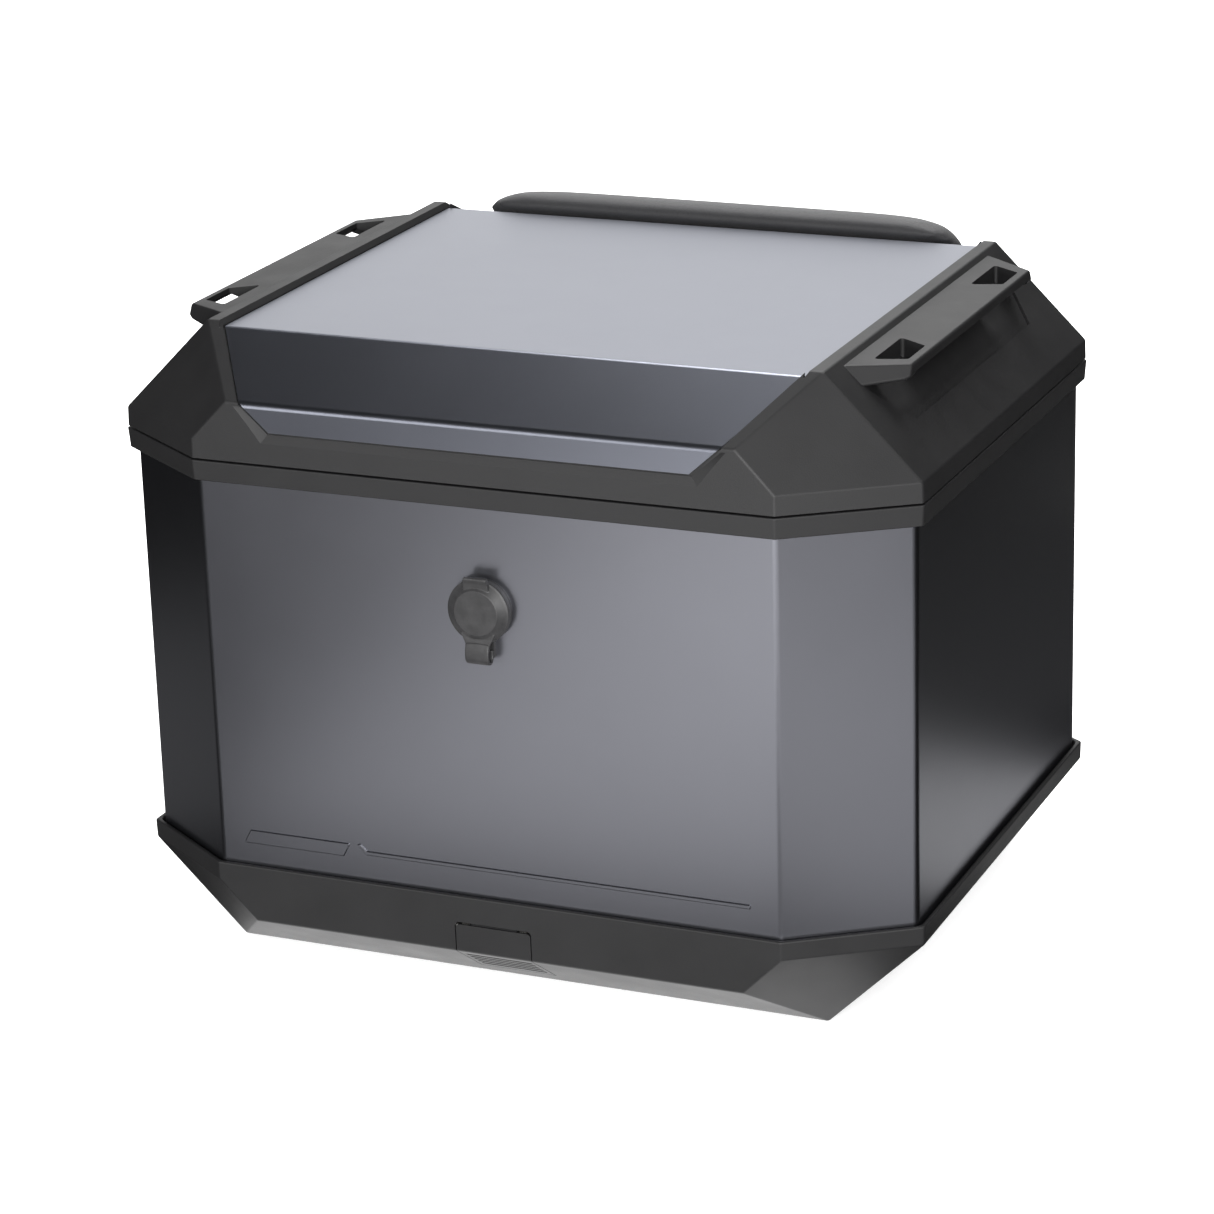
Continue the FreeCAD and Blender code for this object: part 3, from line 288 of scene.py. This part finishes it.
FINISHES = {
    "wall_aluminium": anodised("satin_wall", (0.230, 0.233, 0.260)),
    "panel_aluminium": anodised("satin_panel", (0.230, 0.240, 0.280)),
    "case_plastic": moulded("charcoal_plastic", (0.0095, 0.0093, 0.0099)),
    "fastener_steel": plated("fastener_plate", (0.46, 0.45, 0.43)),
    "black_steel": powder_coat("black_powder_coat", (0.012, 0.012, 0.013)),
    "plated_steel": plated("zinc_plate", (0.56, 0.56, 0.53)),
    "latch_polymer": moulded("black_acetal", (0.014, 0.014, 0.015), 0.34, 0.0009, 0.00001, 0.2),
    "lock_metal": plated("nickel_plate", (0.40, 0.395, 0.38), 0.30, 0.003),
    "cap_rubber": rubber("cap_rubber", (0.0135, 0.0132, 0.0140), 0.40, 0.00001, 0.04),
    "seal_rubber": rubber("seal_rubber", (0.012, 0.012, 0.012), 0.5),
    "mat_foam": rubber("mat_rubber", (0.045, 0.045, 0.047), 0.7, 0.00005),
    "lining_felt": felt("needled_felt", (0.035, 0.035, 0.038)),
    "backrest_leather": leather("leathercloth", (0.020, 0.020, 0.022)),
}
THREAD = thread("black_thread", (0.03, 0.03, 0.032))


def finish_cad_nodes():
    """Give every CAD node the finish of its material slot."""
    for part in frame["record"]["subparts"]:
        node = frame["nodes"][part["node"]]
        node.data.materials.clear()
        node.data.materials.append(FINISHES[part["material_slot"]])


# ---------------------------------------------------------------- mesh helpers

def new_piece(name, points, faces, slot, smooth=True):
    """Object from points and faces, with its normals outward and its slot's finish."""
    mesh = bpy.data.meshes.new(name)
    mesh.from_pydata([tuple(p) for p in points], [], faces)
    mesh.validate()
    piece = bpy.data.objects.new(name, mesh)
    bpy.context.scene.collection.objects.link(piece)
    mesh.materials.append(FINISHES[slot])
    tidy = bmesh.new()
    tidy.from_mesh(mesh)
    bmesh.ops.recalc_face_normals(tidy, faces=tidy.faces)
    tidy.to_mesh(mesh)
    tidy.free()
    mesh.polygons.foreach_set("use_smooth", [smooth] * len(mesh.polygons))
    return piece


def lofted(rings, closed=False):
    """Points and faces of a skin through equal rings; the ends are filled unless it is closed."""
    count = len(rings[0])
    points = [p for ring in rings for p in ring]
    faces = []
    spans = len(rings) if closed else len(rings) - 1
    for r in range(spans):
        a, b = r * count, ((r + 1) % len(rings)) * count
        for k in range(count):
            n = (k + 1) % count
            faces.append((a + k, a + n, b + n, b + k))
    if not closed:
        faces.append(tuple(range(count)))
        faces.append(tuple(range(len(points) - count, len(points))))
    return points, faces


def apply_modifier(piece, kind, **settings):
    """Add one modifier and keep its result as the piece's mesh."""
    modifier = piece.modifiers.new(kind.lower(), kind)
    for key, value in settings.items():
        setattr(modifier, key, value)
    bake(piece)


def bake(piece):
    """Replace the piece's mesh with what its modifiers make of it."""
    graph = bpy.context.evaluated_depsgraph_get()
    graph.update()
    made = bpy.data.meshes.new_from_object(piece.evaluated_get(graph), depsgraph=graph)
    piece.modifiers.clear()
    piece.data = made


def coordinates(piece):
    """The piece's points as an array of rows."""
    flat = np.empty(len(piece.data.vertices) * 3)
    piece.data.vertices.foreach_get("co", flat)
    return flat.reshape(-1, 3)


def place_points(piece, points):
    """Move the piece's points to the given rows."""
    piece.data.vertices.foreach_set("co", np.asarray(points, float).ravel())
    piece.data.update()


# ---------------------------------------------------------------- backrest pad

PAD_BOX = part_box("backrest_pad")
PAD_CORNER = 15 * MM
PAD_STATIONS = 48
PAD_SQUARENESS = 9.0
PAD_THINNEST = 0.06
PAD_SIDE_GAP = 0.4 * MM
PAD_VOXEL = 4.0 * MM
PAD_HELD = 1.5 * MM
PAD_SWELL = 3.0 * MM


def pad_section():
    """Points of the pad's section in (y, z), from its top lip to its foot.

    The inner points lie along the plate; each outer one comes with the number of the inner
    point that it sinks towards where the pad gets thinner.
    """
    low, high = PAD_BOX

    def at(depth, height):
        return Vector((low.y + depth * (high.y - low.y), low.z + height * (high.z - low.z)))

    top, bend, foot = at(-0.03, 0.815), at(0.765, 0.20), at(0.785, 0.0)
    slope = [top.lerp(bend, share) for share in (0.12, 0.4, 0.75)]
    inner = [top, *slope, bend, bend.lerp(foot, 0.5), foot]
    outer = [
        (0, at(-0.02, 0.875)), (0, at(0.06, 0.945)), (1, at(0.22, 0.985)),
        (1, at(0.42, 0.965)), (2, at(0.61, 0.85)), (2, at(0.78, 0.69)),
        (3, at(0.90, 0.47)), (4, at(0.97, 0.30)), (5, at(0.965, 0.14)),
        (6, at(0.90, 0.03)),
    ]
    return inner, outer


def drawn_in(inner, x, half):
    """Inner line of the section at x, with both its ends drawn in at the pad's rounded corners."""
    past = min(max(abs(x) - half + PAD_CORNER, 0.0) / PAD_CORNER, 1.0)
    share = 1 - math.sqrt(1 - past ** 2)
    bend = inner[4]
    slope = []
    for point in inner[:3]:
        way = bend - point
        slope.append(point + way.normalized() * min(PAD_CORNER * share, way.length))
    face = [point + (bend - point) * share * 0.5 for point in inner[5:]]
    return slope + [inner[3], bend] + face


def pad_blank():
    """Crowned pad lofted from side to side; its thickness dies away at both ends."""
    inner, outer = pad_section()
    half = PAD_BOX[1].x - PAD_SIDE_GAP
    rings = []
    for station in range(PAD_STATIONS + 1):
        x = -half * math.cos(math.pi * station / PAD_STATIONS)
        thick = max(1 - abs(x / half) ** PAD_SQUARENESS, 0.0) ** 0.5
        thick = max(thick, PAD_THINNEST)
        line = drawn_in(inner, x, half)
        ring = [Vector((x, *(line[root] + (point - inner[root]) * thick))) for root, point in outer]
        ring += [Vector((x, *point)) for point in reversed(line)]
        rings.append(ring)
    return lofted(rings)


def simulate(piece, pressure, frames, cap, pinned):
    """Let air pressure fill a closed skin, holding the pinned points, and cap how far it moves."""
    rest = coordinates(piece)
    group = piece.vertex_groups.new(name="held")
    group.add([int(i) for i in np.nonzero(pinned)[0]], 1.0, "REPLACE")
    cloth = piece.modifiers.new("cloth", "CLOTH")
    cloth.settings.quality = 6
    cloth.settings.mass = 0.3
    cloth.settings.tension_stiffness = 12
    cloth.settings.compression_stiffness = 12
    cloth.settings.shear_stiffness = 6
    cloth.settings.bending_stiffness = 2.5
    cloth.settings.use_pressure = True
    cloth.settings.uniform_pressure_force = pressure
    cloth.settings.vertex_group_mass = "held"
    cloth.settings.effector_weights.gravity = 0
    cloth.point_cache.frame_start = 1
    cloth.point_cache.frame_end = frames
    for number in range(1, frames + 1):
        bpy.context.scene.frame_set(number)
    bake(piece)
    bpy.context.scene.frame_set(1)
    moved = coordinates(piece) - rest
    length = np.linalg.norm(moved, axis=1, keepdims=True)
    limit = np.minimum(1.0, cap / np.maximum(length, 1e-9))
    place_points(piece, rest + moved * limit)


def plate_gap(points):
    """Distance of each point from the plate's slope and face."""
    inner, _ = pad_section()
    gap = np.full(len(points), 1e9)
    for start, end in ((inner[0], inner[4]), (inner[4], inner[6])):
        along = np.array(end - start)
        offset = points[:, 1:] - np.array(start)
        share = np.clip(offset @ along / (along @ along), 0, 1)
        gap = np.minimum(gap, np.linalg.norm(offset - share[:, None] * along, axis=1))
    return gap


def backrest_pad():
    """Cushion on the back of the lid, filled by a short simulation and held along its plate."""
    piece = new_piece("backrest_cushion", *pad_blank(), "backrest_leather")
    apply_modifier(piece, "REMESH", mode="VOXEL", voxel_size=PAD_VOXEL, use_smooth_shade=True)
    apply_modifier(piece, "SMOOTH", factor=0.5, iterations=9)
    held = plate_gap(coordinates(piece)) < PAD_HELD
    simulate(piece, pressure=3.0, frames=20, cap=PAD_SWELL, pinned=held)
    apply_modifier(piece, "SUBSURF", levels=1, render_levels=1)
    piece.data.polygons.foreach_set("use_smooth", [True] * len(piece.data.polygons))
    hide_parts("backrest_pad")
    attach(piece, "lid")


# ---------------------------------------------------------------- dust cap and its strap

CAP_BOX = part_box("dust_cap")
STRAP_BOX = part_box("dust_cap_strap")
CAP_HUB_RISE = 19.5 * MM
CAP_THICK = 4.9 * MM
CAP_TURNS = 96
CAP_VOXEL = 0.3 * MM
STRAP_THICK = 1.5 * MM
STRAP_TURN_RISE = 3.2 * MM
STRAP_SAG = 3.8 * MM


def cap_solids():
    """Turned body, thumb tab and strap root, which overlap and are then grown together."""
    front, rim = CAP_BOX[0].y, CAP_BOX[1].x
    hub = Vector((0, 0, CAP_BOX[0].z + CAP_HUB_RISE))
    # Share of the rim's radius, and mm behind the front face.
    profile = [
        (0.02, 0.0), (0.40, 0.0), (0.70, 0.0), (0.72, 0.3), (0.94, 2.9),
        (1.0, 3.4), (1.0, 6.2), (0.875, 6.2), (0.875, 4.9), (0.02, 4.9),
    ]
    rings = []
    for step in range(CAP_TURNS):
        angle = 2 * math.pi * step / CAP_TURNS
        across, rise = math.cos(angle) * rim, math.sin(angle) * rim
        rings.append([hub + Vector((across * r, front + y * MM, rise * r)) for r, y in profile])
    solids = [lofted(rings, closed=True)]
    corners = [2 * math.pi * k / 12 for k in range(12)]
    solids.append(lofted([
        [hub + Vector((math.cos(a) * 0.05 * rim, y, math.sin(a) * 0.05 * rim)) for a in corners]
        for y in (front, front + CAP_THICK)
    ]))
    # Mm in front of the cap, mm above the hub, and half the width there in mm.
    tab = [(-4.6, 9.0, 7.2), (-2.7, 9.0, 7.2), (-2.9, 15.0, 6.5), (-2.6, 17.3, 6.2), (-1.4, 18.1, 6.0),
           (-0.1, 17.9, 6.0), (0.0, 17.0, 6.2), (-0.7, 15.0, 6.5), (-1.1, 12.0, 6.9)]
    solids.append(lofted([[hub + Vector((side * w * MM, front - y * MM, z * MM)) for y, z, w in tab]
                          for side in (-1, 1)]))
    # The same for the strap's root, but measured behind the front face.
    root = [(1.3, -10.5, 9.4), (1.5, -13.2, 8.2), (1.0, -16.0, 6.6), (0.1, -19.4, 6.4), (1.6, -19.4, 6.4),
            (2.3, -16.0, 6.6), (3.4, -13.2, 8.2), (3.8, -10.5, 9.4)]
    solids.append(lofted([[hub + Vector((side * w * MM, front + y * MM, z * MM)) for y, z, w in root]
                          for side in (-1, 1)]))
    return solids


def merged(solids):
    """One list of points and one of faces for several solids."""
    points, faces = [], []
    for some_points, some_faces in solids:
        start = len(points)
        points += some_points
        faces += [tuple(start + k for k in face) for face in some_faces]
    return points, faces


def dust_cap():
    """Rubber cap over the lock: its solids grown into one skin with softened edges."""
    piece = new_piece("lock_dust_cap", *merged(cap_solids()), "cap_rubber")
    apply_modifier(piece, "REMESH", mode="VOXEL", voxel_size=CAP_VOXEL, use_smooth_shade=True)
    apply_modifier(piece, "SMOOTH", factor=0.5, iterations=2)
    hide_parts("dust_cap")
    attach(piece, "dust_cap")


def strap_line():
    """(y, z) along the middle of the strap, from the cap's root round the loop to the tail."""
    low, high = STRAP_BOX
    turn = Vector(((low.y + high.y) / 2, low.z + STRAP_TURN_RISE))
    reach = (high.y - low.y - STRAP_THICK) / 2
    line = [turn - Vector((reach + bulge * MM, -rise * MM))
            for bulge, rise in ((-0.7, 7.0), (-0.35, 5.6), (0.2, 3.8), (0.55, 1.9))]
    for step in range(10):
        angle = math.pi * step / 10
        bulge = 0.3 * MM * (1 + math.cos(angle))
        line.append(turn + Vector((-math.cos(angle) * reach - bulge, -math.sin(angle) * STRAP_SAG)))
    line += [turn + Vector((reach, rise * MM)) for rise in (0.3, 1.4, 2.8)]
    return line


def dust_cap_strap():
    """Ribbon with rounded edges; it bends from the tail on the case to the cap's root."""
    low, high = STRAP_BOX
    under = [(-1, -0.45), (-0.955, -1), (-0.5, -1), (0, -1), (0.5, -1), (0.955, -1), (1, -0.45)]
    section = under + [(-x, -share) for x, share in under]
    line = strap_line()
    rings = []
    for k, point in enumerate(line):
        along = (line[min(k + 1, len(line) - 1)] - line[max(k - 1, 0)]).normalized()
        out = Vector((along.y, -along.x)) * STRAP_THICK / 2
        rings.append([Vector((x * high.x, *(point + out * share))) for x, share in section])
    piece = new_piece("lock_dust_cap_strap", *lofted(rings), "cap_rubber")
    apply_modifier(piece, "SUBSURF", levels=2, render_levels=2)
    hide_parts("dust_cap_strap")
    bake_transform(piece)


# ---------------------------------------------------------------- mat, lining and seal

CORNER_STEPS = 10


def rounded_outline(half_x, half_y, radius):
    """Rectangle round the origin with rounded corners, anticlockwise from its right side."""
    points = []
    for quarter, (sx, sy) in enumerate(((1, 1), (-1, 1), (-1, -1), (1, -1))):
        for step in range(CORNER_STEPS + 1):
            angle = math.pi / 2 * (quarter + step / CORNER_STEPS)
            points.append((sx * (half_x - radius) + radius * math.cos(angle),
                           sy * (half_y - radius) + radius * math.sin(angle)))
    return points


def rib(x0, x1, y, base, height, width):
    """Half-round bar along X with run-out ends."""
    rings = []
    for x, share in ((x0, 0.15), (x0 + 1 * MM, 0.75), (x0 + 3 * MM, 1.0),
                     (x1 - 3 * MM, 1.0), (x1 - 1 * MM, 0.75), (x1, 0.15)):
        ring = []
        for step in range(9):
            angle = math.pi * step / 8
            aside, rise = math.cos(angle) * width / 2, math.sin(angle) * height
            ring.append(Vector((x, y + aside * share, base + rise * share)))
        ring.append(Vector((x, y, base - 0.3 * MM)))
        rings.append(ring)
    return lofted(rings)


MAT_THICK = 1.5 * MM
MAT_EDGE = 0.6 * MM
CUP_ROOM = 1.0 * MM
MOUTH_X, MOUTH_Y = 47.0 * MM, -84.0 * MM
RIB_PITCH = 8 * MM
RIB_WIDTH = 3.2 * MM
RIB_MARGIN = 7 * MM
RIB_ROOM = 4 * MM


def mat_outlines(low, high, cups):
    """Outer edge of the mat with its mouth round the quick release, and a hole round each cup."""
    outline = []
    for x, y in rounded_outline(high.x, high.y, 10 * MM):
        if outline and outline[-1][0] < 0 <= x and y < 0:
            outline += [(-MOUTH_X, low.y), (-MOUTH_X, MOUTH_Y), (MOUTH_X, MOUTH_Y), (MOUTH_X, low.y)]
        outline.append((x, y))
    loops = [outline]
    for a, b in cups:
        left, right = a.x - CUP_ROOM, b.x + CUP_ROOM
        near, far = a.y - CUP_ROOM, b.y + CUP_ROOM
        loops.append([(left, near), (left, far), (right, far), (right, near)])
    return loops


def mat_sheet(loops, bottom):
    """Flat sheet with rounded edges, cut to the loops."""
    curve = bpy.data.curves.new("mat_outline", "CURVE")
    curve.dimensions = "2D"
    curve.fill_mode = "BOTH"
    curve.extrude = MAT_THICK / 2 - MAT_EDGE
    curve.bevel_depth = MAT_EDGE
    curve.bevel_resolution = 3
    curve.offset = -MAT_EDGE
    for points in loops:
        spline = curve.splines.new("POLY")
        spline.points.add(len(points) - 1)
        for target, (x, y) in zip(spline.points, points):
            target.co = (x, y, 0, 1)
        spline.use_cyclic_u = True
    blank = bpy.data.objects.new("mat_blank", curve)
    bpy.context.scene.collection.objects.link(blank)
    bpy.context.view_layer.update()
    sheet = bpy.data.meshes.new_from_object(blank)
    bpy.data.objects.remove(blank)
    lift = Vector((0, 0, bottom + MAT_THICK / 2))
    return [v.co + lift for v in sheet.vertices], [tuple(face.vertices) for face in sheet.polygons]


def floor_mat():
    """Ribbed rubber mat, cut out round the quick release and the two hook cups."""
    low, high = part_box("floor_mat")
    cups = [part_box("hook_cup_left"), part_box("hook_cup_right")]
    solids = [mat_sheet(mat_outlines(low, high, cups), low.z)]
    base, height = low.z + MAT_THICK - 0.02 * MM, high.z - low.z - MAT_THICK
    rows = int((high.y - RIB_MARGIN) / RIB_PITCH)
    for row in range(-rows, rows + 1):
        y = row * RIB_PITCH
        stops = [low.x + RIB_MARGIN, high.x - RIB_MARGIN]
        if y < MOUTH_Y + RIB_ROOM:
            stops[1:1] = [-MOUTH_X - RIB_ROOM, MOUTH_X + RIB_ROOM]
        for a, b in cups:
            if a.y - RIB_ROOM < y < b.y + RIB_ROOM:
                stops += [a.x - RIB_ROOM, b.x + RIB_ROOM]
        stops.sort()
        for x0, x1 in zip(stops[::2], stops[1::2]):
            solids.append(rib(x0, x1, y, base, height, RIB_WIDTH))
    piece = new_piece("case_floor_mat", *merged(solids), "mat_foam", smooth=False)
    smooth_by_angle(piece)
    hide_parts("floor_mat")
    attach(piece, "case")


def smooth_by_angle(piece, degrees=40):
    """Smooth shading with hard edges kept where faces meet more sharply than the angle."""
    mesh = piece.data
    mesh.polygons.foreach_set("use_smooth", [True] * len(mesh.polygons))
    mesh.set_sharp_from_angle(angle=math.radians(degrees))


LINING_SEAM = 7 * MM
STITCH_PITCH = 4.5 * MM
STITCH_REACH = 1.7 * MM
STITCH_THICK = 0.35 * MM


def lid_lining():
    """Felt liner with a pressed, stitched border and a slightly crowned middle."""
    low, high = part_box("lid_lining")
    half_x, half_y = high.x, high.y
    thick = high.z - low.z
    # Mm in from the edge, and depth as a share of the thickness.
    steps = [
        (14.0, 0.0), (0.6, 0.0), (0.0, 0.35), (0.3, 0.62), (1.4, 0.80), (3.5, 0.84), (6.0, 0.70), (7.0, 0.50),
        (8.0, 0.72), (11.0, 0.90), (18.0, 0.97), (34.0, 1.0), (60.0, 0.98), (90.0, 0.97), (115.0, 0.965),
    ]
    rings = []
    for inset, depth in steps:
        ring = []
        for x, y in rounded_outline(half_x, half_y, 10 * MM):
            x *= 1 - inset * MM / half_x
            y *= 1 - inset * MM / half_y
            sway = 0.03 * math.sin(x / 0.021 + 1.3) * math.sin(y / 0.017) if inset > 10 else 0.0
            ring.append(Vector((x, y, high.z - thick * min(depth + sway, 1.0))))
        rings.append(ring)
    piece = new_piece("lid_felt_liner", *lofted(rings), "lining_felt")
    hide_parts("lid_lining")
    seam = stitches(half_x - LINING_SEAM, half_y - LINING_SEAM, low.z + 0.45 * thick)
    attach(piece, "lid")
    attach(seam, "lid")


def stitch(centre, along, aside):
    """One short thread lying along the seam, thinner towards its ends."""
    rings = []
    for place, share in ((-1, 0.3), (-0.75, 0.8), (0, 1.0), (0.75, 0.8), (1, 0.3)):
        ring = []
        for k in range(6):
            turn = math.pi * k / 3
            flat = aside * math.cos(turn) + Vector((0, 0, math.sin(turn)))
            ring.append(centre + along * STITCH_REACH * place + flat * STITCH_THICK * share)
        rings.append(ring)
    return lofted(rings)


def stitches(half_x, half_y, z):
    """Run of short thread stitches round a rectangle with rounded corners."""
    outline = [Vector((x, y, z)) for x, y in rounded_outline(half_x, half_y, 8 * MM)]
    outline.append(outline[0])
    solids = []
    left = STITCH_PITCH / 2
    for a, b in zip(outline, outline[1:]):
        along = b - a
        length = along.length
        if length < 1e-7:
            continue
        along /= length
        aside = Vector((-along.y, along.x, 0))
        while left < length:
            solids.append(stitch(a + along * left, along, aside))
            left += STITCH_PITCH
        left -= length
    piece = new_piece("lid_felt_stitching", *merged(solids), "lining_felt")
    piece.data.materials.clear()
    piece.data.materials.append(THREAD)
    return piece


# How far the plan's chamfered corners reach along x and y.
CHAMFER = Vector((59.7, 41.2)) * MM


def plan_outline(half_x, half_y, inset, radius):
    """Plan outline moved inwards by inset, with its eight corners rounded."""
    normal = Vector((CHAMFER.y, CHAMFER.x)).normalized()
    offset = normal.x * (half_x - CHAMFER.x) + normal.y * half_y - inset
    x, y = half_x - inset, half_y - inset
    front_x = (offset - normal.y * y) / normal.x
    side_y = (offset - normal.x * x) / normal.y
    corners = [Vector(c) for c in ((front_x, -y), (x, -side_y), (x, side_y), (front_x, y))]
    corners += [Vector((-c.x, c.y)) for c in reversed(corners)]
    points = []
    for k, corner in enumerate(corners):
        before = (corners[k - 1] - corner).normalized()
        after = (corners[(k + 1) % 8] - corner).normalized()
        spread = before.angle(after) / 2
        reach = radius / math.tan(spread)
        start, end = corner + before * reach, corner + after * reach
        for step in range(7):
            share = step / 6
            points.append(start.lerp(corner, share).lerp(corner.lerp(end, share), share))
    return points


# The seal's insets are measured from an outline this far outside its box; its corner radius in mm.
SEAL_INSET = 5.6 * MM
RIM_RADIUS = 14


def lid_gasket():
    """Soft seal in the lid's channel: flat back, two feet and a round bead below."""
    low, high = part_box("lid_gasket")
    half_x, half_y = high.x + SEAL_INSET, high.y + SEAL_INSET
    # Mm in from the outline, and level as a share of the height.
    section = [
        (5.7, 1.0), (5.65, 0.8), (6.1, 0.62), (6.7, 0.58), (6.6, 0.34), (7.1, 0.14), (7.7, 0.03), (8.3, 0.0),
        (8.9, 0.03), (9.5, 0.14), (10.0, 0.34), (9.9, 0.58), (10.5, 0.62), (10.95, 0.8), (10.9, 1.0),
    ]
    rings = []
    for inset, level in section:
        z = low.z + (high.z - low.z) * level
        outline = plan_outline(half_x, half_y, inset * MM, (RIM_RADIUS - inset) * MM)
        rings.append([Vector((x, y, z)) for x, y in outline])
    piece = new_piece("lid_bead_seal", *lofted(rings, closed=True), "seal_rubber")
    smooth_by_angle(piece, 60)
    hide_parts("lid_gasket")
    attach(piece, "lid")


# ---------------------------------------------------------------- stage

FLOOR_REACH = 14.0
FILL_STRENGTH = 1.5
DOME_RADIUS = 2.2
DOME_MIDDLE = Vector((0, 0, 0.15))
# Softboxes on a dome: compass bearing from +Y towards +X, elevation, width, watts.
DOME_LIGHTS = {
    "key": (158, 12, 1.5, 55),
    "front_left": (210, 12, 1.2, 10),
    "top": (353, 62, 1.3, 36),
    "right_high": (90, 55, 1.0, 6),
    "back": (340, 20, 1.6, 8.5),
}
TABLE_HEIGHT = -0.03
# Bright patches of table that shine up past the object: x and y of the centre, width, watts.
TABLE_LIGHTS = {
    "under": (0, 0, 0.4, 1),
    "front": (-0.1, -0.6, 0.4, 0.6),
    "front_far": (0, -1.1, 0.6, 2.5),
    "right_front": (0.6, -0.5, 0.5, 0.7),
    "right": (0.35, 0.2, 0.2, 0.1),
    "right_rear": (0.4, 0.6, 0.4, 0.03),
    "left": (-0.6, 0.0, 0.4, 0.08),
    "back": (-0.1, 1.2, 0.8, 2),
}


def floor():
    """Pale sweep that glows a little by itself, so that it stays even into the distance."""
    mesh = bpy.data.meshes.new("floor")
    signs = [(-1, -1), (1, -1), (1, 1), (-1, 1)]
    mesh.from_pydata([(sx * FLOOR_REACH, sy * FLOOR_REACH, 0) for sx, sy in signs], [], [(0, 1, 2, 3)])
    piece = bpy.data.objects.new("floor", mesh)
    bpy.context.scene.collection.objects.link(piece)
    piece.location.z = cad_box[0].z - 0.2 * MM
    look = Finish("pale_floor", Specular_IOR_Level=0.1, Emission_Strength=0.5, Emission_Color=(1, 1, 1, 1))
    tone = look.noise(0.6, 3, 0.5)
    mesh.materials.append(look.set(
        Base_Color=look.mix(look.span(tone, 0.3, 0.7), (0.80, 0.80, 0.80), (0.82, 0.82, 0.82)),
        Roughness=look.span(tone, 0.3, 0.7, 0.85, 0.95),
    ))
    piece.visible_glossy = False
    piece.visible_diffuse = False
    piece.visible_shadow = False


def soft_light(name, centre, target, size, power):
    """Rectangular softbox that faces a target; the camera doesn't see it."""
    data = bpy.data.lights.new(name, "AREA")
    data.shape = "RECTANGLE"
    data.size, data.size_y = size
    data.energy = power
    light = bpy.data.objects.new(name, data)
    bpy.context.scene.collection.objects.link(light)
    light.location = centre
    light.rotation_mode = "QUATERNION"
    light.rotation_quaternion = (Vector(target) - Vector(centre)).to_track_quat("-Z", "Y")
    light.visible_camera = False


def world_light(strength):
    """White backdrop for the camera, and an even fill that glossy reflections don't show."""
    world = bpy.data.worlds.new("studio")
    bpy.context.scene.world = world
    world.cycles_visibility.glossy = False
    world.use_nodes = True
    tree = world.node_tree
    seen = tree.nodes["Background"]
    seen.inputs["Color"].default_value = (1, 1, 1, 1)
    fill = tree.nodes.new("ShaderNodeBackground")
    fill.inputs["Color"].default_value = (1, 1, 1, 1)
    fill.inputs["Strength"].default_value = strength
    path = tree.nodes.new("ShaderNodeLightPath")
    pick = tree.nodes.new("ShaderNodeMixShader")
    tree.links.new(path.outputs["Is Camera Ray"], pick.inputs[0])
    tree.links.new(fill.outputs[0], pick.inputs[1])
    tree.links.new(seen.outputs[0], pick.inputs[2])
    tree.links.new(pick.outputs[0], tree.nodes["World Output"].inputs[0])


def studio():
    """Floor, softboxes round the object, bright table patches and the even fill."""
    floor()
    for name, (bearing, rise, width, power) in DOME_LIGHTS.items():
        turn, lift = math.radians(bearing), math.radians(rise)
        out = Vector((math.sin(turn) * math.cos(lift), math.cos(turn) * math.cos(lift), math.sin(lift)))
        size = (width, 0.75 * width)
        soft_light(f"{name}_light", DOME_MIDDLE + out * DOME_RADIUS, DOME_MIDDLE, size, power)
    for name, (x, y, width, power) in TABLE_LIGHTS.items():
        soft_light(f"{name}_table", (x, y, TABLE_HEIGHT), (x, y, 1), (width, width), power)
    world_light(FILL_STRENGTH)


# Where the camera stands, how it is turned (0 bearing looks along +Y), and its lens in mm.
EYE = (0.78567, -1.82251, 0.84314)
EYE_BEARING, EYE_DROP, EYE_ROLL = math.radians(23.54), math.radians(19.07), math.radians(-1.68)
SENSOR_WIDTH, FOCAL_LENGTH = 36.0, 117.28


def camera():
    """Long lens at the height and bearing from which the object is known."""
    aside, ahead, reach = math.sin(EYE_BEARING), math.cos(EYE_BEARING), math.cos(EYE_DROP)
    forward = Vector((-aside * reach, ahead * reach, -math.sin(EYE_DROP)))
    level = Vector((ahead, aside, 0))
    upright = level.cross(forward)
    right = level * math.cos(EYE_ROLL) + upright * math.sin(EYE_ROLL)
    up = right.cross(forward)
    data = bpy.data.cameras.new("camera")
    data.sensor_width = SENSOR_WIDTH
    data.lens = FOCAL_LENGTH
    data.clip_end = 100.0
    eye = bpy.data.objects.new("camera", data)
    bpy.context.scene.collection.objects.link(eye)
    turn = Matrix((right, up, -forward)).transposed().to_4x4()
    eye.matrix_world = Matrix.Translation(EYE) @ turn
    bpy.context.scene.camera = eye


camera()
finish_cad_nodes()
backrest_pad()
dust_cap()
dust_cap_strap()
floor_mat()
lid_lining()
lid_gasket()
studio()
bpy.context.scene.view_settings.view_transform = "Standard"
